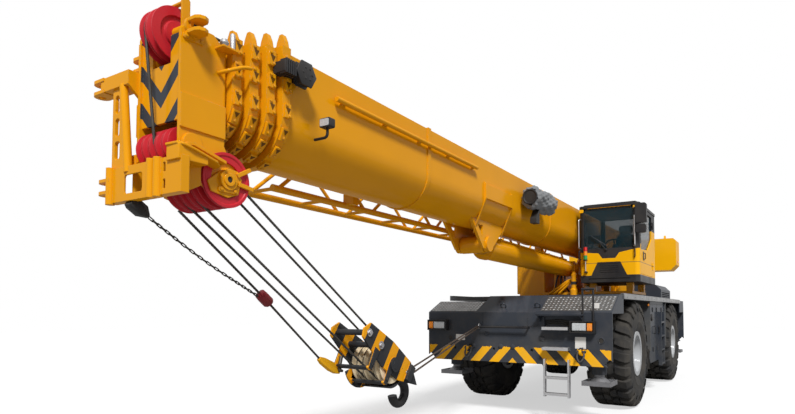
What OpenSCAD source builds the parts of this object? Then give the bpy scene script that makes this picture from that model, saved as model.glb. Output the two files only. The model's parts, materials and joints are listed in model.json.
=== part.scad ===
// Rough-terrain mobile crane: two-axle steered carrier on four outriggers, slewing
// superstructure with a side cab, and a five-section telescopic boom laid over the front.
// X points forward, Y to the crane's left, Z up. The ground is Z = 0.

/* [Layout] */
// Distance of the slew axis behind the origin
slew_back = 2980; // [2920:5:3040]
// Distance between the front and rear axles
wheelbase = 4300; // [4200:10:4500]
// Distance between the middle planes of the tyres
track = 2460; // [2440:10:2500]

/* [Carrier] */
// Width of the carrier body
carrier_w = 3160; // [3120:10:3180]
// Width of the main girder
girder_w = 800; // [700:10:820]
// Underside of the main girder above the ground
girder_z = 960; // [900:10:1000]
// Depth of the main girder
girder_h = 600; // [560:10:640]
// Length of each outrigger box along the carrier
box_len = 740; // [736:1:760]
// Top of the outrigger boxes above the ground
box_top = 1640; // [1610:10:1660]
// Free height of the deck over the tyres
deck_clear = 10; // [8:1:30]
// Thickness of the deck
deck_t = 70; // [50:5:80]
// Thickness of the front and rear panels
panel_t = 30; // [20:1:40]
// Lower edge of the front and rear panels
panel_z = 850; // [800:10:880]
// Length of the front panel's slope along the carrier
slope_len = 500; // [440:10:540]
// Underside of the side lockers above the ground
locker_z = 650; // [600:10:700]
// Width of the engine hood
hood_w = 2500; // [2300:20:2700]
// Height of the engine hood above the deck
hood_h = 400; // [340:10:420]
// Radius of the slewing pedestal
pedestal_r = 800; // [760:10:820]
// Width of the front steps
step_w = 410; // [360:10:440]

/* [Wheels] */
// Outer diameter of a tyre over its lugs
tyre_d = 1860; // [1800:10:1864]
// Width of a tyre
tyre_w = 740; // [700:10:750]
// Height of the tread lugs
lug_h = 46; // [30:1:55]
// Lugs round each shoulder of a tyre
lug_count = 24; // [18:1:26]
// Diameter of the rim seat
rim_d = 700; // [680:5:720]
// Steering angle at full lock
lock_angle = 25; // [20:1:25]
// Distance of the kingpin inside the tyre's middle plane
kingpin_in = 320; // [310:5:330]
// Diameter of the kingpins
kingpin_d = 90; // [70:1:100]
// Diameter of the wheel spindles
spindle_d = 120; // [90:5:140]
// Diameter of the axle tubes
axle_d = 260; // [220:10:280]

/* [Outriggers] */
// Width of an outrigger beam
beam_w = 300; // [280:5:304]
// Depth of an outrigger beam
beam_h = 420; // [380:10:440]
// Distance of a jack from the centreline
jack_y = 1330; // [1325:1:1340]
// Diameter of the jack sleeve
jack_d = 220; // [200:5:222]
// Diameter of the jack rod
jack_rod_d = 150; // [120:5:160]
// Side of the square float
float_w = 430; // [380:10:436]

/* [Superstructure] */
// Distance of the boom foot pin behind the slew axis
foot_back = 1750; // [1700:10:1800]
// Depth of the boom foot pin below the boom's top
foot_drop = 540; // [500:10:570]
// Diameter of the boom foot pin
foot_d = 200; // [160:5:220]
// Distance of the lower lift-cylinder pin ahead of the slew axis
lift_x = 1200; // [1150:10:1250]
// Height of the lower lift-cylinder pin above the turntable
lift_rise = 490; // [460:10:520]
// Diameter of both lift-cylinder pins
lift_pin_d = 140; // [110:5:150]
// Thickness of the turntable cheek plates
cheek_t = 40; // [30:1:50]
// Distance of the tail of the counterweight behind the slew axis
tail = 4300; // [4250:10:4400]
// Width of the counterweight
weight_w = 2940; // [2700:20:3000]
// Length of the counterweight along the crane
weight_len = 620; // [560:10:640]
// Height of the counterweight
weight_h = 870; // [800:10:900]

/* [Cab] */
// Length of the cab
cab_len = 1700; // [1660:10:1740]
// Width of the cab
cab_w = 1105; // [1080:5:1110]
// Height of the cab
cab_h = 1500; // [1460:10:1540]
// Front face of the cab ahead of the slew axis
cab_front = 1850; // [1820:10:1880]
// Thickness of the cab walls and door
cab_t = 45; // [40:1:50]
// Height of the cab's black base
cab_base_h = 130; // [100:5:150]
// Height of the window sill above the cab's underside
sill_h = 640; // [600:10:680]
// Corner radius of the cab in plan
cab_r = 80; // [50:5:90]

/* [Boom] */
// Height of the boom's underside above the lower lift-cylinder pin
boom_rise = 290; // [270:5:320]
// Width of the base section
boom_w = 720; // [716:1:724]
// Depth of the base section
boom_h = 850; // [846:1:854]
// Wall of each boom section
boom_wall = 10; // [8:1:12]
// Gap between the walls of neighbouring sections
boom_gap = 26; // [24:1:30]
// Front end of the base section ahead of the slew axis
boom_front = 9400; // [9300:10:9440]
// Distance between the front collars of neighbouring sections
collar_pitch = 125; // [115:1:130]
// Length of each collar
collar_len = 80; // [60:5:90]
// Upper lift-cylinder pin ahead of the slew axis
lug_x = 5430; // [5380:10:5480]
// Depth of the upper lift-cylinder pin below the boom's underside
lug_drop = 230; // [220:5:250]

/* [Lift cylinder] */
// Outer diameter of the barrel
barrel_d = 330; // [300:5:335]
// Bore of the barrel
barrel_bore = 260; // [240:5:270]
// Diameter of the rod
rod_d = 220; // [180:5:225]

/* [Head and hook] */
// Front edge of the boom head ahead of the slew axis
head_front = 10150; // [10130:10:10200]
// Outer diameter of the lower sheaves
sheave_d = 390; // [370:5:400]
// Width of a sheave
sheave_w = 66; // [56:1:70]
// Diameter of the sheave axles
sheave_pin_d = 90; // [70:5:100]
// Diameter of the hoist rope
rope_d = 22; // [18:1:24]
// Distance from the lower sheave axle to the hook block's axle
fall = 2580; // [2500:10:2650]
// Angle of the held-back falls from the vertical
fall_angle = 55; // [50:1:58]
// Diameter of the hook's round section
hook_d = 100; // [80:5:110]

/* [Hidden] */
$fn = 48;
eps = 0.1;       // running gap between faces that slide or turn on each other
gap = 5;         // free gap round pieces that move

// Carrier
axle_x = wheelbase / 2;
wheel_z = tyre_d / 2;
girder_top = girder_z + girder_h;
deck_z = tyre_d + deck_clear;
deck_top = deck_z + deck_t;
lock_clear = 25;
// What a wheel at full lock sweeps ahead of its axle
lock_reach = ceil(tyre_d / 2 * cos(lock_angle) + (tyre_w / 2 + kingpin_in) * sin(lock_angle)) + lock_clear;
box_x = axle_x + lock_reach;         // near face of an outrigger box
box_end = box_x + box_len;           // far face of an outrigger box
box_w = 2 * (jack_y - jack_d / 2 - gap);
box_z = girder_z - 60;
face_x = box_end + panel_t;          // face of the front panel
bend_z = box_top + 20;               // where the front panel folds back
kingpin_y = track / 2 - kingpin_in;
arch_rise = 360;                     // height of the girder's arch over the axle's middle
arch_len = 450;                      // half length of the girder's arch
arch_top = wheel_z + arch_rise;
guard_t = 20;
guard_x = axle_x - lock_reach - guard_t - 30;
locker_half = guard_x - 10;
locker_y = carrier_w / 2 - 30;

// Outrigger beams
beam_z = girder_z + 10;
beam_side_gap = 6;
beam_wall = 30;
beam_x_far = box_end - beam_wall - beam_side_gap - beam_w / 2;
beam_x_near = box_x + beam_wall + beam_side_gap + beam_w / 2;
sleeve_z = beam_z - 250;
sleeve_top = box_top - 40;
float_z = sleeve_z - 160;

// Superstructure
ring_h = 50;
ring_z = deck_top + 20;
ring_r = pedestal_r + 60;
table_z = ring_z + ring_h + eps;     // underside of the turntable
table_t = 50;
table_top = table_z + table_t;
lift_z = table_top + lift_rise;
boom_bottom = lift_z + boom_rise;
boom_top = boom_bottom + boom_h;
foot_z = boom_top - foot_drop;
lug_z = boom_bottom - lug_drop;
waist_z = table_top + 430;           // low edge of the turntable's cheeks
cheek_in = boom_w / 2 + 45;
cheek_out = cheek_in + cheek_t;
table_rear = -foot_back - 150;
table_front = lift_x + 230;
arm_z = foot_z - 390;
arm_h = 200;
arm_w = 120;
arm_rear = -tail + weight_len;
weight_z = arm_z + 20;

// Cab
cab_right = cheek_out + 10;
cab_left = cab_right + cab_w;
cab_mid = cab_right + cab_w / 2;
cab_z = table_top + 160;                // on its mounts
cab_rear = cab_front - cab_len;
cab_floor = cab_z + cab_base_h;
sill_z = cab_z + sill_h;
cab_roof_t = 80;
roof_z = cab_z + cab_h - cab_roof_t;
post = 90;                           // length of a corner post along a wall
pane_t = 8;
door_x0 = cab_rear + 370;
door_x1 = cab_front - post - gap;
door_z0 = cab_floor + 20;
door_z1 = roof_z - gap;
hinge_r = 14;
hinge_x = door_x0 - hinge_r - 2;
hinge_y = cab_left + 6;
hinge_len = 70;
hinge_zs = [door_z0 + 140, door_z1 - 300];

// Boom
step = boom_wall + boom_gap;
collar_t = 30;
boom_rear = -foot_back - 400;
head_rear = boom_front + 3 * collar_pitch + 25;
function section_w(k) = boom_w - 2 * step * k;
function section_h(k) = boom_h - 2 * step * k;
function section_top(k) = boom_top - step * k;
function section_front(k) = boom_front + collar_pitch * k;
function section_rear(k) = -foot_back + 450 + 90 * k;
lift_len = norm([lug_x - lift_x, lug_z - lift_z]);
lift_angle = atan2(lug_z - lift_z, lug_x - lift_x);
lift_lug_in = barrel_d / 2 + 20;     // clear half-width between the lift cylinder's lugs
lift_lug_t = 40;
gland_len = 130;
barrel_end = lift_len - 260;
piston_x = 310;
piston_len = 60;

// Head
head_in = section_w(4) / 2;
head_t = 24;
head_out = head_in + head_t - 1;
low_axle_x = head_front - 360;
low_axle_z = boom_top - 1080;
front_axle_x = head_front - 90;
front_axle_z = boom_top - 890;
top_axle_x = head_front - 90;
top_axle_z = boom_top - 100;
// The front sheaves fill what the lower ones leave between the two axles
front_sheave_d = 2 * floor(norm([front_axle_x - low_axle_x, front_axle_z - low_axle_z]) - gap) - sheave_d;
top_sheave_d = 380;
boss_d = 1.6 * sheave_pin_d;         // ring round the end of a sheave axle
groove_depth = 35;
sheave_pitch = sheave_w + 9;

// Extrudes a Y-Z outline along X
module along_x(len) rotate([90, 0, 90]) linear_extrude(len) children();

// Extrudes an X-Z outline along Y, the middle at y
module along_y(len, y = 0) translate([0, y, 0]) rotate([90, 0, 0]) linear_extrude(len, center = true) children();

module pin_y(d, len) rotate([90, 0, 0]) cylinder(d = d, h = len, center = true);

module pin_x(d, len) rotate([0, 90, 0]) cylinder(d = d, h = len);

module block(x0, x1, y0, y1, z0, z1) translate([x0, y0, z0]) cube([x1 - x0, y1 - y0, z1 - z0]);

// Rectangle with round corners
module round_rect(x0, x1, y0, y1, r) {
    translate([x0 + r, y0]) square([x1 - x0 - 2 * r, y1 - y0]);
    translate([x0, y0 + r]) square([x1 - x0, y1 - y0 - 2 * r]);
    for (x = [x0 + r, x1 - r], y = [y0 + r, y1 - r]) translate([x, y]) circle(r);
}

// Slot outline between two points
module slot(a, b, d) {
    v = b - a;
    for (p = [a, b]) translate(p) circle(d = d);
    translate(a) rotate(atan2(v[1], v[0])) translate([0, -d / 2]) square([norm(v), d]);
}

// Straight tube between two points
module bar(a, b, d) {
    v = b - a;
    translate(a) rotate([0, acos(v[2] / norm(v)), atan2(v[1], v[0])]) cylinder(d = d, h = norm(v));
}

// Both sides of the centreline
module both_sides() {
    children();
    mirror([0, 1, 0]) children();
}

module placed() translate([-slew_back, 0, 0]) children();

// Carrier

module outrigger_box() {
    lip = 14;
    difference() {
        union() {
            block(box_x, box_end, -box_w / 2, box_w / 2, box_z, box_top);
            for (y = [-box_w / 2 + 300, 0, box_w / 2 - 300])
                block(box_x - lip, box_x, y - 12, y + 12, box_z + 40, box_top - 40);
        }
        for (x = [beam_x_far, beam_x_near])
            block(x - beam_w / 2 - beam_side_gap, x + beam_w / 2 + beam_side_gap, -box_w, box_w,
                beam_z - eps, beam_z + beam_h + beam_side_gap);
    }
}

module carrier_frame() color([0.22, 0.25, 0.28]) {
    difference() {
        block(-box_x, box_x, -girder_w / 2, girder_w / 2, girder_z, girder_top);
        for (x = [-axle_x, axle_x])
            block(x - arch_len, x + arch_len, -girder_w, girder_w, girder_z - 1, arch_top);
    }
    outrigger_box();
    mirror([1, 0, 0]) outrigger_box();
    translate([0, 0, girder_top]) cylinder(r = pedestal_r, h = ring_z - girder_top);
}

// Folded plate over an outrigger box, from the lower lip to the deck
module fold_outline(slope, top) polygon([
    [box_end, panel_z], [face_x, panel_z], [face_x, bend_z], [face_x - slope, top],
    [box_x, top], [box_x, top - panel_t], [face_x - slope - panel_t / 4, top - panel_t],
    [box_end, bend_z - panel_t / 3]
]);

// End plate that closes the fold above the outrigger box
module fold_side(slope, top) polygon([
    [box_x, box_top], [face_x, box_top], [face_x, bend_z], [face_x - slope, top], [box_x, top]
]);

module panel_corners() both_sides() translate([box_end - 1, carrier_w / 2, panel_z]) {
    corner = 110;
    rotate([45, 0, 0]) translate([0, -corner / 2, -corner]) cube([panel_t + 2, corner, 2 * corner]);
}

module tow_lug(y) difference() {
    lug = 120;
    along_y(36, y) {
        translate([face_x, panel_z + 160]) square([lug / 2, lug]);
        translate([face_x + lug / 2, panel_z + 160 + lug / 2]) circle(d = lug);
    }
    translate([face_x + lug / 2, y, panel_z + 160 + lug / 2]) pin_y(tow_d, lug);
}

tow_d = 60;
low_corner_y = -630;     // the slope is lower to the right of this line
low_corner = 90;

module front_housing() color([0.22, 0.25, 0.28]) {
    half = carrier_w / 2;
    side_t = 20;
    difference() {
        union() {
            along_y(half - low_corner_y, (half + low_corner_y) / 2) fold_outline(slope_len, deck_top);
            along_y(half + low_corner_y, (low_corner_y - half) / 2) fold_outline(slope_len - low_corner, deck_top - low_corner);
            along_y(side_t, half - side_t / 2) fold_side(slope_len, deck_top);
            along_y(side_t, low_corner_y + side_t / 2) fold_side(slope_len, deck_top);
            along_y(side_t, side_t / 2 - half) fold_side(slope_len - low_corner, deck_top - low_corner);
        }
        panel_corners();
        for (y = [-1050, -330, 330]) translate([box_end - 1, y, panel_z + 210]) pin_x(46, panel_t + 2);
        block(box_end - 1, face_x + 1, step_y, step_y + step_w, step_z[0] + 45, step_z[0] + 200);
    }
    for (y = [-760, 1130]) tow_lug(y);
}

module rear_housing() color([0.22, 0.25, 0.28]) mirror([1, 0, 0]) difference() {
    half = carrier_w / 2;
    side_t = 20;
    union() {
        along_y(carrier_w) fold_outline(panel_t, deck_top);
        both_sides() along_y(side_t, half - side_t / 2) fold_side(panel_t, deck_top);
    }
    panel_corners();
    for (z = [bend_z - 420 : 70 : bend_z - 60]) block(box_end - 1, face_x + 1, -420, 420, z, z + 34);
    both_sides() block(box_end + panel_t / 2, face_x + 1, half - 420, half - 80, bend_z - 130, bend_z - 10);
}

module deck() color([0.3, 0.32, 0.34]) {
    half = carrier_w / 2;
    lip = 18;
    difference() {
        union() {
            block(-box_x, box_x, -half, half, deck_z, deck_top);
            both_sides() block(-box_x, box_x, half - 40, half, deck_top, deck_top + lip);
        }
        translate([0, 0, deck_z - 1]) cylinder(r = ring_r + 10, h = deck_t + 2);
        block(-box_x - 1, -box_x + 760, -girder_w / 2 - 20, girder_w / 2 + 20, deck_z - 1, deck_top + 1);
    }
    for (s = [-1, 1], x = [-1, 1]) scale([x, s, 1])
        block(guard_x, guard_x + guard_t, track / 2 - tyre_w / 2, half, wheel_z - 30, deck_z);
}

module locker(front, rear, seams) difference() {
    bevel = 90;
    along_y(locker_y - girder_w / 2, (locker_y + girder_w / 2) / 2) polygon([
        [rear, deck_z], [rear, locker_z + bevel], [rear + bevel, locker_z],
        [front - bevel, locker_z], [front, locker_z + bevel], [front, deck_z]
    ]);
    translate([0, 0, girder_top - 10]) cylinder(r = pedestal_r + 20, h = deck_z);
    for (x = seams) block(x - 5, x + 5, locker_y - 6, locker_y + 1, locker_z + 60, deck_z - 60);
    block(rear + 80, front - 80, locker_y - 6, locker_y + 1, deck_z - 60, deck_z - 50);
}

module side_ladder() {
    w = 420;
    x = -520;
    out = 70;
    for (s = [x, x + w - 30]) block(s, s + 30, locker_y, locker_y + out, locker_z - 120, locker_z + 1010);
    for (z = [locker_z - 100 : 290 : locker_z + 800]) block(x, x + w, locker_y + 10, locker_y + out, z, z + 36);
}

module side_lockers() color([0.2, 0.23, 0.26]) {
    half = locker_half;
    locker(half, -half, [-560, 40, 500]);
    side_ladder();
    mirror([0, 1, 0]) locker(half, -half, [-300, 300]);
}

module hood_outline(inset) {
    half = hood_w / 2 - inset;
    top = deck_top + hood_h - inset;
    bevel = 120;
    polygon([
        [-half, deck_top], [-half, top - bevel], [-half + bevel, top], [half - bevel, top],
        [half, top - bevel], [half, deck_top]
    ]);
}

module engine_hood() color([0.25, 0.28, 0.3]) {
    x0 = -face_x + 10;
    x1 = -box_x + 790;
    wall = 30;
    slat = 22;
    difference() {
        translate([x0, 0, 0]) along_x(x1 - x0) hood_outline(0);
        translate([x0 + wall, 0, -wall]) along_x(x1 - x0 - 2 * wall) hood_outline(wall);
        translate([x0 + wall, 0, -2 * wall]) along_x(x1 - x0 - 2 * wall) hood_outline(wall);
        for (z = [deck_top + 60 : 2 * slat : deck_top + hood_h - 170]) {
            block(x0 + 120, x1 - 120, -hood_w, hood_w, z, z + slat);
            block(x0 - 1, x0 + wall + 1, -500, 500, z, z + slat);
        }
        for (x = [x0 + 200 : 90 : x1 - 260]) block(x, x + 45, -hood_w / 4, hood_w / 4, deck_top + hood_h - wall - 1, deck_top + hood_h + 1);
    }
}

module engine() color([0.2, 0.2, 0.2])
    block(-box_x + 20, -box_x + 740, -girder_w / 2 + 20, girder_w / 2 - 20, girder_top, deck_top + hood_h - 120);

yoke_h = 235;        // half height of an axle yoke
yoke_t = 50;
yoke_w = 120;        // half width of an axle yoke

module axle() {
    arm_in = kingpin_y - 190;
    difference() {
        union() {
            pin_y(axle_d, 2 * arm_in + 20);
            sphere(d = 560);
            pin_x(240, 330);
            both_sides() {
                block(-yoke_w, yoke_w, arm_in, arm_in + 80, -yoke_h, yoke_h);
                for (z = [-yoke_h, yoke_h - yoke_t]) {
                    block(-yoke_w, yoke_w, arm_in, kingpin_y, z, z + yoke_t);
                    translate([0, kingpin_y, z]) cylinder(r = yoke_w - 20, h = yoke_t);
                }
                block(-110, 110, girder_w / 2 - 150, girder_w / 2 - 10, 60, arch_top - wheel_z);
            }
        }
        both_sides() translate([0, kingpin_y, -2 * yoke_h]) cylinder(d = kingpin_d + 2 * eps, h = 4 * yoke_h);
    }
}

module front_axle() color([0.15, 0.15, 0.16]) translate([axle_x, 0, wheel_z]) mirror([1, 0, 0]) axle();
module rear_axle() color([0.15, 0.15, 0.16]) translate([-axle_x, 0, wheel_z]) axle();

module slew_ring() color([0.4, 0.4, 0.42]) translate([0, 0, ring_z]) difference() {
    cylinder(r = ring_r, h = ring_h);
    translate([0, 0, -1]) cylinder(r = pedestal_r - 100, h = ring_h + 2);
}

step_y = 540;                        // right edge of the front steps
step_z = [1390, 1080];               // heights of the front steps
ladder_z = 365;

module front_steps() color([0.75, 0.76, 0.77]) {
    tread = 130;
    rail = 28;
    for (z = step_z) difference() {
        block(face_x, face_x + tread, step_y, step_y + step_w, z, z + 45);
        for (x = [face_x + 24 : 36 : face_x + tread - 24]) block(x, x + 20, step_y + 20, step_y + step_w - 20, z - 1, z + 46);
    }
    for (y = [step_y, step_y + step_w - rail]) block(face_x, face_x + 70, y, y + rail, ladder_z, panel_z + 90);
    for (z = [ladder_z + 20, ladder_z + 270]) block(face_x, face_x + 70, step_y, step_y + step_w, z, z + 40);
}

module lamp_box(y0, y1) {
    z0 = 1350;
    z1 = 1530;
    depth = 100;
    mid = (z0 + z1) / 2;
    difference() {
        block(face_x, face_x + depth, y0, y1, z0, z1);
        block(face_x + depth - 30, face_x + depth + 1, y0 + 14, y1 - 14, z0 + 14, z1 - 14);
    }
    for (y = [y0 + 95, y1 - 95]) translate([face_x + depth - 40, y, mid]) pin_x(140, 30);
}

module headlamps() color([0.1, 0.1, 0.1]) {
    rail = 36;
    lamp_box(970, 1345);
    lamp_box(-1550, -1175);
    bar_y = [-600, 285];
    bar_z = 1420;
    post_d = rail - 6;
    for (y = bar_y) translate([face_x, y, bar_z]) pin_x(post_d, 90);
    translate([face_x + 90, (bar_y[0] + bar_y[1]) / 2, bar_z]) pin_y(rail, bar_y[1] - bar_y[0] + rail);
    hoop_y = [1150, 1310];
    for (y = hoop_y) translate([face_x + rail / 2, y, bend_z - 130]) cylinder(d = post_d, h = 480);
    translate([face_x + rail / 2, (hoop_y[0] + hoop_y[1]) / 2, bend_z + 350]) pin_y(rail, hoop_y[1] - hoop_y[0] + rail);
}

// Wheels

module wheel_at(sx, sy) translate([sx * axle_x, sy * track / 2, wheel_z]) rotate([-90 * sy, 0, 0]) children();

disc_in = -60;       // inner face of the wheel disc from the tyre's middle plane
disc_t = 28;
flange_h = 40;
flange_t = 24;
rim_half = tyre_w / 2 - 40;

module rim(sx, sy) color([0.8, 0.8, 0.8]) wheel_at(sx, sy) rotate_extrude() {
    seat = rim_d / 2;
    bore = spindle_d / 2 + eps;
    translate([seat - 30, -rim_half]) square([30, 2 * rim_half]);
    for (z = [-rim_half, rim_half - flange_t]) translate([seat - 30, z]) square([30 + flange_h, flange_t]);
    polygon([
        [seat - 25, rim_half], [seat - 25, rim_half - 30],
        [seat - 75, disc_in + 150], [seat - 95, disc_in + 150]
    ]);
    translate([bore, disc_in]) square([seat - 10 - bore, disc_t]);
    translate([bore, disc_in + disc_t]) square([215 - bore, 40]);
    translate([bore, disc_in + disc_t + 40]) square([165 - bore, 100]);
    translate([0, disc_in + disc_t + 120]) square([120, 65]);
}

module tyre(sx, sy) color([0.12, 0.12, 0.12]) wheel_at(sx, sy) {
    seat = rim_d / 2 + eps;
    bead = rim_half - flange_t - eps;
    shoulder_r = tyre_d / 2 - 110;
    tread_half = tyre_w / 2 - 60;
    steps = 4;
    wall_r0 = seat + flange_h + 12;
    side = [for (i = [0 : steps]) let (t = i / steps)
        [wall_r0 + (shoulder_r - wall_r0) * t, bead + (tyre_w / 2 - bead) * sin(30 + 120 * t)]];
    groove = 92;
    difference() {
        rotate_extrude($fn = 96) polygon(concat(
            [[seat, bead], [seat, -bead], [wall_r0 - 12, -bead]],
            [for (p = side) [p[0], -p[1]]],
            [[tyre_d / 2, -tread_half], [tyre_d / 2, tread_half]],
            [for (i = [steps : -1 : 0]) side[i]],
            [[wall_r0 - 12, bead]]
        ));
        for (i = [0 : lug_count - 1], s = [-1, 1])
            rotate([0, 0, (i + (s > 0 ? 0.5 : 0)) * 360 / lug_count])
                translate([tyre_d / 2 - lug_h, 0, s * 40]) rotate([s * 20, 0, 0])
                    translate([0, -groove / 2, s > 0 ? 0 : -tyre_w]) cube([2 * lug_h, groove, tyre_w]);
    }
}

module knuckle(sx, sy) color([0.15, 0.15, 0.16]) translate([sx * axle_x, sy * kingpin_y, wheel_z]) scale([1, sy, 1]) {
    hub_end = kingpin_in + disc_in;
    inner = yoke_h - yoke_t - gap;
    cylinder(d = kingpin_d, h = 2 * yoke_h, center = true);
    cylinder(d = 160, h = 2 * inner, center = true);
    translate([0, (hub_end - gap) / 2, 0]) pin_y(280, hub_end - gap);
    translate([0, hub_end + 60, 0]) pin_y(spindle_d, 150);
}

// Outriggers

module outrigger_at(sx, sy) scale([sx, sy, 1]) translate([sy > 0 ? beam_x_far : beam_x_near, 0, 0]) children();

module beam(sx, sy) color([0.22, 0.25, 0.28]) outrigger_at(sx, sy) {
    difference() {
        union() {
            block(-beam_w / 2, beam_w / 2, -box_w / 2 + 30, jack_y, beam_z, beam_z + beam_h);
            translate([0, jack_y, sleeve_z]) cylinder(d = jack_d, h = sleeve_top - sleeve_z);
            translate([0, jack_y, sleeve_top - 90]) cylinder(d = jack_d * 0.7, h = 110);
        }
        translate([0, jack_y, sleeve_z - 1]) cylinder(d = jack_rod_d + 2 * eps, h = sleeve_top - sleeve_z - 40);
    }
}

module jack(sx, sy) color([0.35, 0.37, 0.4]) outrigger_at(sx, sy) translate([0, jack_y, 0]) {
    plate = 30;
    rim_h = 70;
    translate([0, 0, float_z + plate]) cylinder(d = jack_rod_d, h = sleeve_top - 80 - float_z - plate);
    difference() {
        translate([-float_w / 2, -float_w / 2, float_z]) cube([float_w, float_w, rim_h]);
        translate([-float_w / 2 + 20, -float_w / 2 + 20, float_z + plate]) cube([float_w - 40, float_w - 40, rim_h]);
    }
    translate([0, 0, float_z + plate]) cylinder(d1 = float_w - 60, d2 = jack_rod_d, h = 90);
}

// Superstructure

module cheek_outline() polygon([
    [table_rear, table_z], [table_front, table_z], [table_front, lift_z], [lift_x + 80, lift_z + 160],
    [lift_x - 180, lift_z + 160], [lift_x - 700, waist_z - 20], [lift_x - 1700, waist_z + 20], [-foot_back + 480, foot_z - 60],
    [-foot_back + 200, foot_z + 230], [-foot_back - 220, foot_z + 230], [-foot_back - 320, foot_z - 100],
    [-foot_back - 260, waist_z - 20]
]);

module turntable() color([0.95, 0.65, 0.05]) {
    boss = 60;
    translate([0, 0, table_z]) cylinder(r = ring_r, h = table_t);
    both_sides() {
        difference() {
            along_y(cheek_t, cheek_in + cheek_t / 2) cheek_outline();
            for (x = [-1150, -550, 100, 650])
                translate([x, cheek_in - 1, table_top + 170]) rotate([-90, 0, 0]) cylinder(d = 210, h = cheek_t + 2);
        }
        translate([-foot_back, cheek_out + boss / 2 - 1, foot_z]) pin_y(foot_d * 1.7, boss);
        along_y(30, cheek_out + 120) polygon([
            [table_rear, table_z], [-600, table_z], [-600, table_top], [-foot_back + 100, foot_z - 400], [table_rear, foot_z - 400]
        ]);
        block(table_rear, -900, cheek_out - 1, cheek_out + 121, table_z, table_top);
        along_y(lift_lug_t, lift_lug_in - 10 + lift_lug_t / 2) polygon([
            [lift_x - 500, table_top - 1], [lift_x + 200, table_top - 1],
            [lift_x + 130, lift_z + 60], [lift_x - 130, lift_z + 100]
        ]);
        block(arm_rear, table_rear - 50, cheek_in, cheek_in + arm_w, arm_z, arm_z + arm_h);
    }
    block(table_rear, table_front, -cheek_in - 1, cheek_in + 1, table_z, table_top);
    translate([-foot_back, 0, foot_z]) pin_y(foot_d, 2 * cheek_out + 2 * boss + 40);
    translate([lift_x, 0, lift_z]) pin_y(lift_pin_d, 2 * (lift_lug_in - 10 + lift_lug_t) + 50);
    block(arm_rear, arm_rear + 60, -cheek_in - 1, cheek_in + 1, arm_z, arm_z + arm_h);
    block(150, 1500, cheek_out - 1, cab_left - 200, table_z, table_top);
    for (x = [300, 1400], y = [cab_right + 80, cab_left - 320])
        block(x - 60, x + 60, y, y + 120, table_top - 1, cab_z);
    block(-800, 700, -1250, -cheek_out + 1, table_z, table_top);
}

module weight_outline() {
    half = weight_w / 2;
    bevel = 140;
    polygon([
        [-half, weight_z + bevel], [-half + bevel, weight_z], [half - bevel, weight_z], [half, weight_z + bevel],
        [half, weight_z + weight_h - bevel / 2], [half - bevel / 2, weight_z + weight_h],
        [-half + bevel / 2, weight_z + weight_h], [-half, weight_z + weight_h - bevel / 2]
    ]);
}

module counterweight() color([0.98, 0.68, 0.05]) {
    eye = 140;
    difference() {
        translate([-tail, 0, 0]) along_x(weight_len) weight_outline();
        both_sides() block(-tail - 1, -tail + 25, 180, weight_w / 2 - 200, weight_z + 160, weight_z + weight_h - 160);
    }
    both_sides() difference() {
        along_y(40, weight_w / 2 - 320) {
            translate([-tail + weight_len / 2, weight_z + weight_h + eye / 3]) circle(d = eye);
            translate([-tail + weight_len / 2 - eye / 2, weight_z + weight_h - 1]) square([eye, eye / 3 + 1]);
        }
        translate([-tail + weight_len / 2, weight_w / 2 - 320, weight_z + weight_h + eye / 3]) pin_y(eye / 2, eye);
    }
}

module winch() {
    drum = 280;
    flange = 500;
    rise = 460 - arm_h;
    pin_y(drum, 560);
    both_sides() {
        translate([0, 290, 0]) pin_y(flange, 24);
        translate([0, 350, 0]) pin_y(drum - 40, 130);
        along_y(30, 330) polygon([[-200, -rise], [200, -rise], [120, 150], [-120, 150]]);
        block(-220, 220, 302, cheek_in + arm_w - 20, -rise, -rise + 24);
    }
    for (y = [-225 : 30 : 225]) translate([0, y, 0]) pin_y(drum + 44, 26);
}

module winches() color([0.5, 0.45, 0.2])
    for (x = [-foot_back - 1010, -foot_back - 1580]) translate([x, 0, arm_z + 460]) winch();

module hydraulic_tank() color([0.9, 0.62, 0.05]) {
    top = foot_z - 450;
    rear = -590;
    difference() {
        translate([0, 0, table_top]) linear_extrude(top - table_top) round_rect(rear, 700, -1330, -cheek_out, 60);
        block(-300, 200, -1331, -1318, table_top + 100, top - 120);
    }
    translate([300, -900, top]) cylinder(d = 160, h = 40);
    block(rear, rear + 100, -cheek_out - 100, -cheek_out, table_top, top);
    block(600, 700, -cheek_out - 100, -cheek_out, table_top, top);
}

// Cab

module cab_plan(inset) round_rect(cab_rear + inset, cab_front - inset, cab_right + inset, cab_left - inset, cab_r - inset / 2);

module cab_shell(z0, z1) translate([0, 0, z0]) linear_extrude(z1 - z0) difference() {
    cab_plan(0);
    cab_plan(cab_t);
}

// Front outline above the yellow panel: its edge dips to a notch in the middle
module brow_outline() polygon([
    [cab_right - 1, sill_z - 60], [cab_mid - 190, sill_z - 90], [cab_mid - 120, sill_z - 190], [cab_mid + 120, sill_z - 190],
    [cab_mid + 190, sill_z - 90], [cab_left + 1, sill_z - 20], [cab_left + 1, sill_z + 1], [cab_right - 1, sill_z + 1]
]);

// Black grille field low on the front panel
module grille_outline() polygon([
    [cab_mid - 330, cab_floor], [cab_mid + 330, cab_floor], [cab_mid + 210, cab_floor + 250], [cab_mid - 210, cab_floor + 250]
]);

module cab_base() color([0.08, 0.08, 0.09]) difference() {
    translate([0, 0, cab_z]) linear_extrude(cab_base_h) cab_plan(0);
    translate([cab_front - 12, 0, 0]) along_x(13) translate([cab_mid - 380, cab_z + 50]) square([760, 26]);
}

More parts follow.
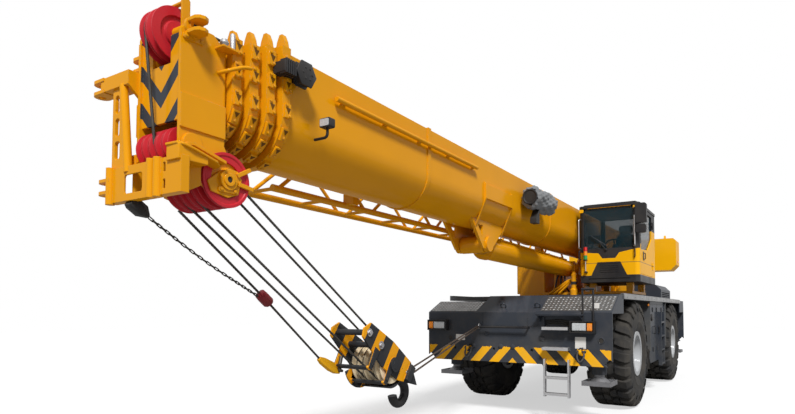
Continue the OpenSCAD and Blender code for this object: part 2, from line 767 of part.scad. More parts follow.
module cab_tub() color([1, 0.72, 0.02]) {
    difference() {
        union() {
            cab_shell(cab_floor, sill_z);
            intersection() {
                cab_shell(sill_z - 1, roof_z);
                block(cab_rear + cab_r, door_x0 - gap, cab_left - cab_t, cab_left + 1, sill_z - 1, roof_z);
            }
        }
        block(door_x0 - gap, door_x1 + gap, cab_left - cab_t - 1, cab_left + 1, door_z0 - gap, sill_z + 1);
        translate([cab_front - cab_t - cab_r, 0, 0]) along_x(cab_t + cab_r + 1) brow_outline();
        translate([cab_front - 25, 0, 0]) along_x(26) grille_outline();
        for (z = hinge_zs) translate([hinge_x, hinge_y, z + hinge_len]) cylinder(r = hinge_r + 2, h = hinge_len + gap);
    }
    for (z = hinge_zs) translate([0, 0, z]) {
        translate([hinge_x, hinge_y, 0]) cylinder(r = hinge_r, h = hinge_len);
        block(hinge_x - 60, hinge_x, cab_left - 10, cab_left + 6, 0, hinge_len);
    }
}

module cab_frame() color([0.12, 0.12, 0.13]) {
    intersection() {
        cab_shell(sill_z, roof_z);
        union() {
            for (y = [cab_right - 1, cab_left - post]) block(cab_front - post, cab_front + 1, y, y + post + 1, sill_z, roof_z);
            for (y = [cab_right - 1, cab_left - cab_r]) block(cab_rear - 1, cab_rear + cab_r, y, y + cab_r + 1, sill_z, roof_z);
        }
    }
    intersection() {
        cab_shell(cab_floor, sill_z);
        translate([cab_front - cab_t - cab_r, 0, 0]) along_x(cab_t + cab_r + 1) brow_outline();
        block(cab_front - post, cab_front + 1, cab_right - 1, cab_left + 1, cab_floor, sill_z + 1);
    }
    difference() {
        translate([cab_front - 25, 0, 0]) along_x(20) grille_outline();
        for (z = [cab_floor + 40 : 40 : cab_floor + 200]) block(cab_front - 12, cab_front, cab_mid - 170, cab_mid + 170, z, z + 18);
    }
    translate([0, 0, roof_z]) linear_extrude(cab_roof_t - 30) cab_plan(-10);
    translate([0, 0, roof_z + cab_roof_t - 30]) linear_extrude(30) cab_plan(60);
}

module cab_glass() color([0.3, 0.4, 0.45, 0.4]) {
    y0 = cab_right + post + eps;
    y1 = cab_left - post - eps;
    block(cab_front - 30, cab_front - 30 + pane_t, y0, y1, sill_z, roof_z);
    block(cab_rear + cab_r + eps, cab_front - post - eps, cab_right + 20, cab_right + 20 + pane_t, sill_z, roof_z);
    block(cab_rear + 20, cab_rear + 20 + pane_t, cab_right + cab_r + eps, cab_left - cab_r - eps, sill_z, roof_z);
}

module cab_seat() color([0.1, 0.1, 0.11]) {
    x = cab_rear + 470;
    half = 250;
    pad = 120;
    wheel_r = 196;
    wheel_rim = 30;
    translate([x, cab_mid, cab_floor]) {
        cylinder(d = 320, h = 260);
        translate([0, 0, 250]) linear_extrude(pad) round_rect(-230, 270, -half, half, 40);
        along_y(2 * half - 100) polygon([[-pad - 170, 360], [-170, 360], [-240, 960], [-pad - 240, 960]]);
        block(-pad - 230, -250, -140, 140, 955, 1140);
        both_sides() block(-150, 290, half + 15, half + 105, 470, 550);
        both_sides() block(-60, 0, half - 30, half + 60, 300, 500);
        both_sides() translate([190, half + 60, 520]) cylinder(d = 40, h = 150);
    }
    translate([cab_front - 330, cab_mid, cab_floor]) {
        translate([0, 0, 14]) rotate([0, -18, 0]) cylinder(d = 90, h = 605);
        translate([-196, 0, 600]) rotate([0, -40, 0]) {
            difference() {
                cylinder(r = wheel_r, h = wheel_rim, center = true);
                cylinder(r = wheel_r - wheel_rim, h = 2 * wheel_rim, center = true);
            }
            block(-20, 20, 10 - wheel_r, wheel_r - 10, -8, 8);
            translate([0, 0, -40]) cylinder(d = 110, h = 50);
        }
    }
}

module door_outline() polygon([[door_x0, door_z0], [door_x1, door_z0], [door_x1, door_z1], [door_x0, door_z1]]);

module door_window(inset) {
    edge = 70 + inset;
    polygon([
        [door_x0 + edge, sill_z + 260 + inset], [door_x0 + edge + 420, sill_z + inset], [door_x1 - edge, sill_z - 40 + inset],
        [door_x1 - edge, door_z1 - edge], [door_x0 + edge, door_z1 - edge]
    ]);
}

module cab_door() color([1, 0.72, 0.02]) {
    thick = cab_t - 2;
    difference() {
        along_y(thick, cab_left - thick / 2) difference() {
            door_outline();
            door_window(0);
        }
        block(door_x1 - 335, door_x1 - 255, cab_left - 12, cab_left + 1, sill_z - 220, sill_z - 70);
    }
    for (z = hinge_zs) translate([0, 0, z + hinge_len + eps]) {
        translate([hinge_x, hinge_y, 0]) cylinder(r = hinge_r, h = hinge_len);
        block(hinge_x, door_x0 + 60, cab_left + 2, cab_left + 10, 0, hinge_len);
        block(door_x0 + 5, door_x0 + 60, cab_left - 1, cab_left + 3, 0, hinge_len);
    }
}

module door_glass() color([0.3, 0.4, 0.45, 0.4]) along_y(pane_t, cab_left - 26) door_window(eps);

module cab_mirror() color([0.1, 0.1, 0.11]) {
    x = cab_front + 30;
    y = cab_left - 10;
    z = roof_z - 60;
    for (h = [z - 20, z - 345]) block(cab_front, x + 1, cab_left - post, y + 40, h, h + 30);
    difference() {
        translate([x, 0, 0]) along_x(90) round_rect(y - 40, y + 160, z - 300, z + 60, 40);
        translate([x - 1, 0, 0]) along_x(10) round_rect(y - 25, y + 145, z - 285, z + 45, 30);
    }
    difference() {
        translate([x, 0, 0]) along_x(80) round_rect(y - 30, y + 150, z - 480, z - 320, 40);
        translate([x - 1, 0, 0]) along_x(10) round_rect(y - 15, y + 135, z - 465, z - 335, 30);
    }
}

// Boom

// Outline of a boom section: flat top and sides over a half-round bottom; its top is at Z = top
module section_outline(w, h, top) {
    translate([-w / 2, top - h + w / 2]) square([w, h - w / 2]);
    translate([0, top - h + w / 2]) circle(d = w);
}

// Outline of section k grown by d on every side
module grown_outline(k, d) section_outline(section_w(k) + 2 * d, section_h(k) + 2 * d, section_top(k) + d);

// Collar at the front of section k, with wear pads that carry the next section
module front_collar(k) {
    w = section_w(k + 1) / 2;
    mid_z = section_top(k + 1) - section_h(k + 1) + w;
    translate([section_front(k) - collar_len, 0, 0]) {
        along_x(collar_len) difference() {
            grown_outline(k, collar_t);
            grown_outline(k + 1, gap + 1);
        }
        both_sides() {
            block(0, collar_len, w + eps, w + gap + 2, mid_z + 60, mid_z + 260);
            for (z = [mid_z - 40, mid_z + 160, mid_z + 330])
                block(10, collar_len - 10, w + step + collar_t - 1, w + step + collar_t + 22, z, z + 110);
            translate([0, w - 60, 0]) along_x(40) polygon([
                [0, section_top(k) + collar_t - 1], [110, section_top(k) + collar_t - 1],
                [96, section_top(k) + collar_t + 60], [70, section_top(k) + collar_t + 115],
                [40, section_top(k) + collar_t + 115], [14, section_top(k) + collar_t + 60]
            ]);
        }
        block(0, collar_len, -100, 100, section_top(k + 1) + eps, section_top(k + 1) + gap + 2);
    }
}

// Saddle under the base section that takes the lift cylinder's upper pin
module lift_saddle() {
    bottom = boom_bottom;
    pad_r = 110;
    along_y(lift_lug_t, lift_lug_in + lift_lug_t / 2) difference() {
        union() {
            polygon([
                [lug_x - 560, bottom + 75], [lug_x + 520, bottom + 75],
                [lug_x + 160, lug_z - 70], [lug_x - 120, lug_z - 60]
            ]);
            translate([lug_x, lug_z]) circle(r = pad_r);
        }
        polygon([[lug_x + 190, lug_z + 80], [lug_x + 330, bottom + 10], [lug_x + 170, bottom + 10]]);
    }
    translate([lug_x, lift_lug_in + lift_lug_t, lug_z]) pin_y(1.5 * lift_pin_d, 60);
}

// Gusset from the boom's side down to the saddle
module saddle_wing(x) translate([x, 0, 0]) along_x(30) {
    mid_r = (boom_w - boom_wall) / 2;
    polygon(concat(
        [[lift_lug_in + 5, boom_bottom - 120], [boom_w / 2 + 30, boom_bottom + 330],
            [boom_w / 2 + 30, boom_bottom + 520], [mid_r, boom_bottom + 560]],
        [for (a = [0 : 11 : 33]) [mid_r * cos(a), boom_bottom + boom_w / 2 - mid_r * sin(a)]]
    ));
}

module boom_base() color([0.95, 0.65, 0.05]) {
    pipe = 46;
    difference() {
        union() {
            translate([boom_rear, 0, 0]) along_x(boom_front - boom_rear) grown_outline(0, 0);
            both_sides() {
                along_y(31, boom_w / 2 + 14.5) polygon([
                    [boom_rear, foot_z - 250], [-foot_back + 700, foot_z - 250], [-foot_back + 1200, foot_z],
                    [-foot_back + 700, foot_z + 300], [boom_rear, foot_z + 300]
                ]);
                along_y(31, boom_w / 2 + 14.5) polygon([
                    [lug_x - 480, boom_bottom + 330], [lug_x + 410, boom_bottom + 330],
                    [lug_x + 410, boom_bottom + 520], [lug_x - 480, boom_bottom + 520]
                ]);
            }
            for (x = [3200, 7200]) translate([x, 0, 0]) along_x(60) grown_outline(0, 12);
        }
        translate([boom_rear - 1, 0, 0]) along_x(boom_front - boom_rear + 2) grown_outline(0, -boom_wall);
        translate([-foot_back, 0, foot_z]) pin_y(foot_d + 2 * eps, boom_w + 200);
    }
    front_collar(0);
    both_sides() {
        lift_saddle();
        for (x = [lug_x - 480, lug_x + 380]) saddle_wing(x);
    }
    translate([lug_x + 700, boom_w / 2 + pipe / 2 + 20, boom_top - 190]) pin_x(pipe, boom_front - lug_x - 1300);
    for (x = [lug_x + 760 : 620 : boom_front - 660])
        block(x, x + 50, boom_w / 2 - 1, boom_w / 2 + 30, boom_top - 215, boom_top - 165);
}

module boom_section(k) color([0.95, 0.65, 0.05]) {
    translate([section_rear(k), 0, 0]) along_x(section_front(k) - section_rear(k)) difference() {
        grown_outline(k, 0);
        grown_outline(k, -boom_wall);
    }
    front_collar(k);
}

// Side plate of the head, from its sloped top down to the lower axle
module head_plate_outline() polygon([
    [head_rear, low_axle_z + 240], [head_rear, section_top(4) - 6], [head_front - 250, boom_top - 75],
    [head_front - 60, boom_top - 75], [head_front, boom_top - 130], [head_front, front_axle_z - 80],
    [head_front - 70, front_axle_z - 130], [low_axle_x + 130, low_axle_z - 110],
    [low_axle_x - 20, low_axle_z - 125], [low_axle_x - 120, low_axle_z - 80],
    [low_axle_x - 120, low_axle_z + 70], [low_axle_x - 40, low_axle_z + 150]
]);

// Thick eight-sided plate that carries the lower axle
module axle_plate_outline() translate([low_axle_x, low_axle_z]) polygon([
    [160, -30], [70, 45], [0, 88], [-88, 78], [-124, 24], [-93, -91], [-9, -124], [132, -98]
]);

axle_plate_t = 28;

module sheave_axle(x, z, out) translate([x, 0, z]) {
    pin_y(sheave_pin_d, 2 * out + 44);
    both_sides() translate([0, out + 10, 0]) pin_y(boss_d, 24);
}

module boom_section_5() color([0.95, 0.65, 0.05]) {
    k = 4;
    band_z = boom_top - 560;
    arm = top_sheave_d / 2 + 22;         // the rope guard stands clear of the top sheaves
    translate([section_rear(k), 0, 0]) along_x(head_rear - section_rear(k)) difference() {
        grown_outline(k, 0);
        grown_outline(k, -boom_wall);
    }
    both_sides() {
        along_y(head_t, head_in - 1 + head_t / 2) head_plate_outline();
        along_y(13, head_out + 5.5) intersection() {
            head_plate_outline();
            translate([head_rear - 1, front_axle_z + 100]) square([head_front - head_rear + 2, band_z - front_axle_z - 100]);
        }
        along_y(axle_plate_t + 1, head_out + (axle_plate_t - 1) / 2) axle_plate_outline();
        along_y(16, 150) slot([top_axle_x, top_axle_z], [top_axle_x, top_axle_z + arm], 60);
    }
    block(head_rear - 20, head_rear, -head_in, head_in, section_top(k) - section_h(k) + 40, section_top(k) - 6);
    block(head_rear - 1, head_front - 170, -head_in, head_in, boom_top - 560, boom_top - 530);
    difference() {
        block(head_front - 40, head_front - 20, -head_in, head_in, boom_top - 730, boom_top - 140);
        block(head_front - 41, head_front - 19, -100, 100, boom_top - 330, boom_top);
    }
    translate([top_axle_x, 0, top_axle_z + arm]) pin_y(30, 316);
    sheave_axle(low_axle_x, low_axle_z, head_out + axle_plate_t);
    sheave_axle(front_axle_x, front_axle_z, head_out);
    sheave_axle(top_axle_x, top_axle_z, head_out);
    clevis(head_front - 50, -head_out - 65, boom_top - 260, 40);
}

module sheave(d) rotate([90, 0, 0]) rotate_extrude() {
    bore = sheave_pin_d / 2 + eps;
    half = sheave_w / 2;
    floor_r = d / 2 - groove_depth;
    difference() {
        translate([bore, -half]) square([d / 2 - bore, 2 * half]);
        polygon([
            [floor_r, -rope_d / 2 - 2], [d / 2 + 1, -half + 6], [d / 2 + 1, half - 6], [floor_r, rope_d / 2 + 2]
        ]);
        if (floor_r > bore + 90) for (s = [-1, 1]) polygon([
            [bore + 42, s * half * 1.1], [floor_r - 26, s * half * 1.1], [floor_r - 32, s * (half - 14)], [bore + 48, s * (half - 14)]
        ]);
    }
}

module head_sheaves() color([0.75, 0.1, 0.12]) {
    rows = [-2 * sheave_pitch, -sheave_pitch, 0, sheave_pitch, 2 * sheave_pitch];
    for (y = rows) {
        translate([low_axle_x, y, low_axle_z]) sheave(sheave_d);
        translate([front_axle_x, y, front_axle_z]) sheave(front_sheave_d);
    }
    for (y = [-sheave_pitch / 2, sheave_pitch / 2]) translate([top_axle_x, y, top_axle_z]) sheave(top_sheave_d);
}

// Ears with a pin bore, standing off along -Y
module clevis(x, y, z, d) difference() {
    ear = 2.2 * d;
    for (h = [z - 55, z + 30]) translate([0, 0, h]) linear_extrude(25) {
        translate([x, y]) circle(d = ear);
        translate([x - ear / 2, y]) square([ear, ear]);
    }
    translate([x, y, z - 100]) cylinder(d = d, h = 200);
}

jib_pin_d = 50;
jib_arm_z = boom_top - 380;
jib_arm_out = -head_out - 346;       // right end of the upper arm
jib_out = -head_out - 211;           // right end of the nose
jib_in = head_out + 131;             // left end of the nose
jib_x = head_front + 30;
jib_low_z = low_axle_z - 170;
jib_nose = head_front + 10;          // rear face of the nose
jib_nose_t = 60;
jib_low_h = 240;

module jib_bracket() color([0.95, 0.65, 0.05]) {
    plate = 24;
    top_z = jib_low_z + jib_low_h;
    face = jib_nose + jib_nose_t;
    block(head_front - 60, jib_x + 40, jib_arm_out, -head_out, jib_arm_z - 50, jib_arm_z + 50);
    along_y(plate, -head_out - plate / 2) polygon([
        [head_front - 60, jib_arm_z - 49], [jib_x + 40, jib_arm_z - 49], [head_front - 60, jib_arm_z - 170]
    ]);
    clevis(jib_x - 10, jib_arm_out - 70, jib_arm_z, jib_pin_d);
    difference() {
        translate([jib_x, 0, 0]) along_x(plate) polygon([
            [jib_out, top_z - 1], [jib_out + 190, top_z - 1],
            [jib_out + 110, jib_arm_z - 49], [jib_out, jib_arm_z - 49]
        ]);
        translate([jib_x - 1, 0, 0]) along_x(plate + 2)
            for (i = [0 : 2]) round_rect(jib_out + 32, jib_out + 94 - 8 * i, top_z + 70 + 165 * i, top_z + 200 + 165 * i, 24);
    }
    bar([jib_x + plate, jib_out + 210, top_z - 40], [jib_x + plate, jib_out + 130, jib_arm_z - 40], 56);
    difference() {
        block(jib_nose, face, jib_out, jib_in, jib_low_z, top_z);
        translate([jib_nose - 1, 0, 0]) along_x(jib_nose_t - plate / 2 + 1)
            round_rect(jib_out + 40, jib_in - 40, jib_low_z + plate, top_z - plate, 10);
        translate([jib_nose - 1, 0, 0]) along_x(jib_nose_t + 2) {
            round_rect(jib_out + 190, jib_out + 400, jib_low_z + 50, jib_low_z + 180, 20);
            for (z = [jib_low_z + 40, jib_low_z + 150]) translate([jib_in - 190, z]) square([26, 60]);
        }
    }
    for (y = [jib_out + 20, 50, 126]) translate([face, y, jib_low_z - 10]) cylinder(d = 60, h = jib_low_h + 20);
    both_sides() {
        along_y(plate, head_out + plate / 2) polygon([
            [head_front - 150, front_axle_z - 95], [head_front - 20, front_axle_z - 95], [head_front, front_axle_z - 20],
            [jib_nose + 1, top_z], [jib_nose + 1, jib_low_z], [head_front - 150, jib_low_z + 90]
        ]);
        along_y(70, head_out + plate + 34) polygon([
            [jib_nose + 1, top_z - 24], [jib_nose + 1, top_z], [head_front, front_axle_z - 20],
            [head_front - 50, front_axle_z - 10], [low_axle_x + 60, front_axle_z - 78],
            [low_axle_x + 60, front_axle_z - 98], [head_front - 50, front_axle_z - 32], [head_front - 8, front_axle_z - 40]
        ]);
    }
    clevis(jib_nose + 30, jib_out - 70, jib_low_z + 120, jib_pin_d);
}

module stowed_jib() color([0.95, 0.65, 0.05]) {
    x0 = -200;
    panels = 12;
    panel = 740;
    chord = 70;
    lace = 40;
    lead = 70;       // a lacing bar meets its chord this far from a cross bar
    x1 = x0 + panels * panel;
    y = [-boom_w / 2 - 540, -boom_w / 2 - 140];
    z = [boom_bottom + 20, boom_bottom + 520];
    for (yy = y, zz = z) bar([x0, yy, zz], [x1, yy, zz], chord);
    for (i = [0 : panels - 1], yy = y)
        bar([x0 + i * panel + lead, yy, z[i % 2]], [x0 + (i + 1) * panel - lead, yy, z[(i + 1) % 2]], lace);
    for (i = [0 : panels], zz = z) {
        x = x0 + i * panel + (i == 0 ? lace : i == panels ? -lace : 0);
        bar([x, y[0], zz], [x, y[1], zz], lace - 4);
    }
    for (x = [x0 + 2.5 * panel, x0 + 10.5 * panel]) block(x, x + 80, y[1], -boom_w / 2, z[0], z[1]);
}

module cable_reel() color([0.08, 0.08, 0.09]) translate([boom_front - 140, boom_w / 2, boom_top - 170]) {
    reel = 320;
    translate([0, 100, 0]) pin_y(reel, 70);
    translate([0, 145, 0]) pin_y(reel - 90, 20);
    translate([0, 33, 0]) pin_y(90, 66);
    block(100, 215, 75, 130, -50, 40);
}

module on_lift() translate([lift_x, 0, lift_z]) rotate([0, -lift_angle, 0]) children();

module lift_barrel() color([0.95, 0.65, 0.05]) on_lift() {
    start = 250;
    eye_w = 2 * (lift_lug_in - 10) - 20;
    difference() {
        union() {
            pin_y(2.15 * lift_pin_d, eye_w);
            pin_x(barrel_d, barrel_end);
            translate([barrel_end - gland_len, 0, 0]) pin_x(barrel_d + 24, gland_len - 30);
            for (x = [420, barrel_end - 260]) block(x, x + 90, -60, 60, barrel_d / 2 - 20, barrel_d / 2 + 32);
            translate([480, 0, barrel_d / 2 + 12]) pin_x(36, barrel_end - 700);
        }
        pin_y(lift_pin_d + 2 * eps, eye_w + 2);
        translate([start, 0, 0]) pin_x(barrel_bore, barrel_end - gland_len - start);
        translate([start, 0, 0]) pin_x(rod_d + 2 * eps, barrel_end);
    }
}

module lift_rod() color([0.8, 0.8, 0.82]) on_lift() difference() {
    union() {
        translate([piston_x, 0, 0]) pin_x(barrel_bore - 2 * eps, piston_len);
        translate([piston_x, 0, 0]) pin_x(rod_d, lift_len - piston_x);
        translate([lift_len, 0, 0]) pin_y(1.65 * lift_pin_d, 2 * lift_lug_in - 20);
    }
    translate([lift_len, 0, 0]) pin_y(lift_pin_d, 2 * lift_lug_in);
}

// Hook

// Frame of the falls: the lower head axle is at the origin and the falls hang along -Z
module on_falls() translate([low_axle_x, 0, low_axle_z]) rotate([0, fall_angle, 0]) children();

// Long striped cheek of the hook block, drawn about its axle with the falls going up
module hook_cheek_outline() polygon([
    [-145, 560], [-45, 620], [35, 590], [115, 165], [90, -165], [-40, -510], [-185, -265], [-195, 130]
]);

module hook_block() color([0.25, 0.27, 0.3]) on_falls() translate([0, 0, -fall]) {
    cheek = 20;
    y = 2 * sheave_pitch + sheave_w / 2 + 8 + cheek / 2;
    throat = 120;
    hook_x = -60;
    both_sides() along_y(cheek, y) hook_cheek_outline();
    pin_y(sheave_pin_d, 2 * y + 90);
    both_sides() translate([0, y + 25, 0]) pin_y(1.7 * sheave_pin_d, 36);
    block(hook_x - 80, hook_x + 80, -y, y, -330, -230);
    both_sides() block(hook_x - 90, hook_x + 90, y - cheek / 2, y + 50, -330, -250);
    for (z = [300, 530]) translate([-50, 0, z]) pin_y(60, 2 * y);
    translate([hook_x, 0, -520]) cylinder(d = hook_d, h = 200);
    translate([hook_x + throat, 0, -520]) rotate([90, 0, 0]) rotate([0, 0, 180])
        rotate_extrude(angle = 225) translate([throat, 0]) circle(d = hook_d);
    for (s = [-2 : 2]) translate([0, s * sheave_pitch, 0]) sheave(sheave_d);
}

module hook_falls() color([0.1, 0.1, 0.1]) on_falls()
    for (s = [-1, 1], y = [-sheave_pitch, sheave_pitch])
        translate([s * (sheave_d / 2 - groove_depth + rope_d / 2 + eps), y, -fall]) cylinder(d = rope_d, h = fall);

placed() carrier_frame();
placed() front_housing();
placed() rear_housing();
placed() deck();
placed() side_lockers();
placed() engine_hood();
placed() engine();
placed() front_axle();
placed() rear_axle();
placed() front_steps();
placed() headlamps();
placed() slew_ring();
placed() knuckle(1, 1);  // knuckle_fl
placed() knuckle(1, -1);  // knuckle_fr
placed() knuckle(-1, 1);  // knuckle_rl
placed() knuckle(-1, -1);  // knuckle_rr
placed() rim(1, 1);  // rim_fl
placed() rim(1, -1);  // rim_fr
placed() rim(-1, 1);  // rim_rl
placed() rim(-1, -1);  // rim_rr
placed() tyre(1, 1);  // tyre_fl
placed() tyre(1, -1);  // tyre_fr
placed() tyre(-1, 1);  // tyre_rl
placed() tyre(-1, -1);  // tyre_rr
placed() beam(1, 1);  // beam_fl
placed() beam(1, -1);  // beam_fr
placed() beam(-1, 1);  // beam_rl
placed() beam(-1, -1);  // beam_rr
placed() jack(1, 1);  // jack_fl
placed() jack(1, -1);  // jack_fr
placed() jack(-1, 1);  // jack_rl
placed() jack(-1, -1);  // jack_rr
placed() turntable();
placed() counterweight();
placed() winches();
placed() hydraulic_tank();
placed() cab_base();
placed() cab_tub();
placed() cab_frame();
placed() cab_glass();
placed() cab_seat();
placed() cab_door();
placed() door_glass();
placed() cab_mirror();
placed() boom_base();
placed() boom_section(1);  // boom_section_2
placed() boom_section(2);  // boom_section_3
placed() boom_section(3);  // boom_section_4
placed() boom_section_5();
placed() head_sheaves();
placed() jib_bracket();
placed() stowed_jib();
placed() cable_reel();
placed() lift_barrel();
placed() lift_rod();
placed() hook_block();
placed() hook_falls();
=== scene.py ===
# %% [markdown]
# # A rough-terrain crane, dressed in Blender
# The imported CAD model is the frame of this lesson: every solid is already at its real size
# and in its real place. What Blender adds is the look: a camera like the photograph's, a
# studio, finishes made of shader nodes, and the small pieces that a working crane carries.

# %% Load the frame
import json
import math

import bmesh
import bpy
from mathutils import Matrix, Vector


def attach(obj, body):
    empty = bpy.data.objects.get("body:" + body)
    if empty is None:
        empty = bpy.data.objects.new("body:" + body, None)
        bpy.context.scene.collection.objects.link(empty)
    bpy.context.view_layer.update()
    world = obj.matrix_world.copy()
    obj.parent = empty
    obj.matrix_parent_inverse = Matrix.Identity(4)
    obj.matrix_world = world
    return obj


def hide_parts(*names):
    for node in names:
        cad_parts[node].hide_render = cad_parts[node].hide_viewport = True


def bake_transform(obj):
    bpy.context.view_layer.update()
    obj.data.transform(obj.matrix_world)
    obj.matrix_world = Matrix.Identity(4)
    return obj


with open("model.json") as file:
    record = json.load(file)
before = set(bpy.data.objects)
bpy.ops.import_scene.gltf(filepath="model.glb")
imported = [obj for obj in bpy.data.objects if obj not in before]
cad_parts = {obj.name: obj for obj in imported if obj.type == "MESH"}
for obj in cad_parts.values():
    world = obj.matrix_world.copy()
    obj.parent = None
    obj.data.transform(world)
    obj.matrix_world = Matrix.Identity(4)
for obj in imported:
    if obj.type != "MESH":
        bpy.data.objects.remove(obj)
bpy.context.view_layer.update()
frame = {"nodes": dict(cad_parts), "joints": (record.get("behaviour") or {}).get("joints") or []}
nodes = frame["nodes"]
scene = bpy.context.scene

# %% [markdown]
# ## The camera
# The photograph was taken close to the boom head, from the front left, with a wide lens.
# Its place and angles were fitted to wheel hubs, panel edges and boom corners. The middle of
# the lens isn't the middle of the picture, so the camera is shifted instead of turned: that
# keeps the crane's upright edges upright. Lengths along the crane are measured from the slew
# axis, here and in every later cell.

# %% Camera
PHOTO_W, PHOTO_H = 795, 414
FOCAL_PX = 551.0
LENS_MIDDLE_PX = (438.1, 287.8)
YAW, PITCH = 0.536, 0.041
EYE_X, EYE_Y, EYE_Z = 12.35, 3.52, 1.69
SENSOR_MM = 36
joint_at = {joint["name"]: Vector(joint["pos_m"]) for joint in frame["joints"] if "pos_m" in joint}
SLEW_BACK = -joint_at["slew"].x

eye = Vector((EYE_X - SLEW_BACK, EYE_Y, EYE_Z))
to_right = Vector((-math.sin(YAW), math.cos(YAW), 0))
to_top = Vector((math.cos(YAW) * math.sin(PITCH), math.sin(YAW) * math.sin(PITCH), math.cos(PITCH)))
turn = Matrix((to_right, to_top, to_right.cross(to_top))).transposed().to_4x4()

lens = bpy.data.cameras.new("photo_camera")
lens.sensor_width = SENSOR_MM
lens.lens = SENSOR_MM * FOCAL_PX / PHOTO_W
lens.shift_x = 0.5 - LENS_MIDDLE_PX[0] / PHOTO_W
lens.shift_y = (LENS_MIDDLE_PX[1] - PHOTO_H / 2) / PHOTO_W
camera = bpy.data.objects.new("photo_camera", lens)
camera.matrix_world = Matrix.Translation(eye) @ turn
scene.collection.objects.link(camera)
scene.camera = camera
print("lens", round(lens.lens, 2), "mm, shift", round(lens.shift_x, 4), round(lens.shift_y, 4))

# %% [markdown]
# ## Sums with sockets
# A shader is a graph of nodes. Written as links it is hard to read, so one small class wraps
# an output socket and gives it Python's operators: `1 - mask` or `mask * 0.3` adds the Math
# nodes by itself. Every other node comes from its one method `node`.

# %% A socket that can be added and multiplied
def maths(operation, swapped=False):
    def act(self, other):
        values = (other, self) if swapped else (self, other)
        return self.math(operation, *values)

    return act


class Wire:
    def __init__(self, tree, socket=None):
        self.tree, self.socket = tree, socket

    def node(self, kind, settings=None, inputs=None, output=0):
        made = self.tree.nodes.new("ShaderNode" + kind)
        for name, value in (settings or {}).items():
            setattr(made, name, value)
        for name, value in (inputs or {}).items():
            if isinstance(value, Wire):
                self.tree.links.new(value.socket, made.inputs[name])
            else:
                made.inputs[name].default_value = value
        return Wire(self.tree, made.outputs[output])

    def math(self, operation, *values):
        return self.node("Math", {"operation": operation}, dict(enumerate(values)))

    def __abs__(self):
        return self.math("ABSOLUTE", self)

    __add__ = __radd__ = maths("ADD")
    __mul__ = __rmul__ = maths("MULTIPLY")
    __sub__ = maths("SUBTRACT")
    __rsub__ = maths("SUBTRACT", swapped=True)
    __truediv__ = maths("DIVIDE")
    __mod__ = maths("FLOORED_MODULO")
    __gt__ = maths("GREATER_THAN")
    __lt__ = maths("LESS_THAN")


NOISE_LOW, NOISE_HIGH = 0.2, 0.8


def colour_mix(factor, first, second):
    return factor.node("Mix", {"data_type": "RGBA"}, {0: factor, 6: first, 7: second}, 2)


def ramp_between(value, low, high):
    return value.node("MapRange", None, {"Value": value, "From Min": low, "From Max": high})


def noise(point, scale, detail=3.0, contrast=0.0):
    grain = point.node("TexNoise", None, {"Vector": point, "Scale": scale, "Detail": detail}, "Fac")
    return ramp_between(grain, NOISE_LOW + contrast, NOISE_HIGH - contrast)


def axes_of(point):
    return [point.node("SeparateXYZ", None, {"Vector": point}, axis) for axis in "XYZ"]


print("noise is spread from", NOISE_LOW, "to", NOISE_HIGH)

# %% [markdown]
# ## The studio
# A sun lamp with a wide disc gives one soft shadow, from ahead and to the crane's left as in
# the photograph. The world lights the rest. The background is white only for rays that come
# from the camera, a mirror or a window, so its white adds no light to the crane.

# %% Studio light
scene.view_settings.view_transform = "Standard"
AMBIENT = 0.34
SUN_POWER, SUN_DISC = 3.8, 0.22
SUN_FROM = Vector((0.58, 0.46, 0.78))

world = bpy.data.worlds.new("studio")
scene.world = world
world.use_nodes = True
seen = Wire(world.node_tree)
WHITE_FOR = ("Is Camera Ray", "Is Glossy Ray", "Is Transmission Ray")
white_rays = sum(seen.node("LightPath", output=ray) for ray in WHITE_FOR)
strength = ramp_between(white_rays, 0, 1) * (1 - AMBIENT) + AMBIENT
backdrop = world.node_tree.nodes["Background"]
backdrop.inputs["Color"].default_value = (1, 1, 1, 1)
world.node_tree.links.new(strength.socket, backdrop.inputs["Strength"])

sun = bpy.data.lights.new("soft_sun", "SUN")
sun.energy, sun.angle = SUN_POWER, SUN_DISC
sun_object = bpy.data.objects.new("soft_sun", sun)
sun_object.rotation_euler = SUN_FROM.to_track_quat("Z", "Y").to_euler()
scene.collection.objects.link(sun_object)
print("sun", SUN_POWER, "ambient", AMBIENT)

# %% [markdown]
# The floor has to be nearly white in the picture and still hold the crane's shadow. A white
# floor would send too much light back up at the crane, so it is a middle grey that glows, and
# only for rays from the camera.

# %% Studio floor
FLOOR_GLOW, FLOOR_ALBEDO = 0.58, 0.38
FLOOR_HALF, FLOOR_Z = 45.0, -0.004
corners = [(u * FLOOR_HALF, v * FLOOR_HALF, FLOOR_Z) for u, v in ((-1, -1), (1, -1), (1, 1), (-1, 1))]
floor_mesh = bpy.data.meshes.new("studio_floor")
floor_mesh.from_pydata(corners, [], [(0, 1, 2, 3)])
floor = bpy.data.objects.new("studio_floor", floor_mesh)
scene.collection.objects.link(floor)

pale = bpy.data.materials.new("studio_floor")
pale.use_nodes = True
tree = pale.node_tree
seen = Wire(tree)
lit = seen.node("BsdfDiffuse", None, {"Color": (FLOOR_ALBEDO, FLOOR_ALBEDO, FLOOR_ALBEDO, 1)})
camera_glow = seen.node("LightPath", output="Is Camera Ray") * FLOOR_GLOW
glow = seen.node("Emission", None, {"Strength": camera_glow})
both = seen.node("AddShader", None, {0: lit, 1: glow})
tree.links.new(both.socket, tree.nodes["Material Output"].inputs["Surface"])
floor_mesh.materials.append(pale)
print("floor", 2 * FLOOR_HALF, "m wide")

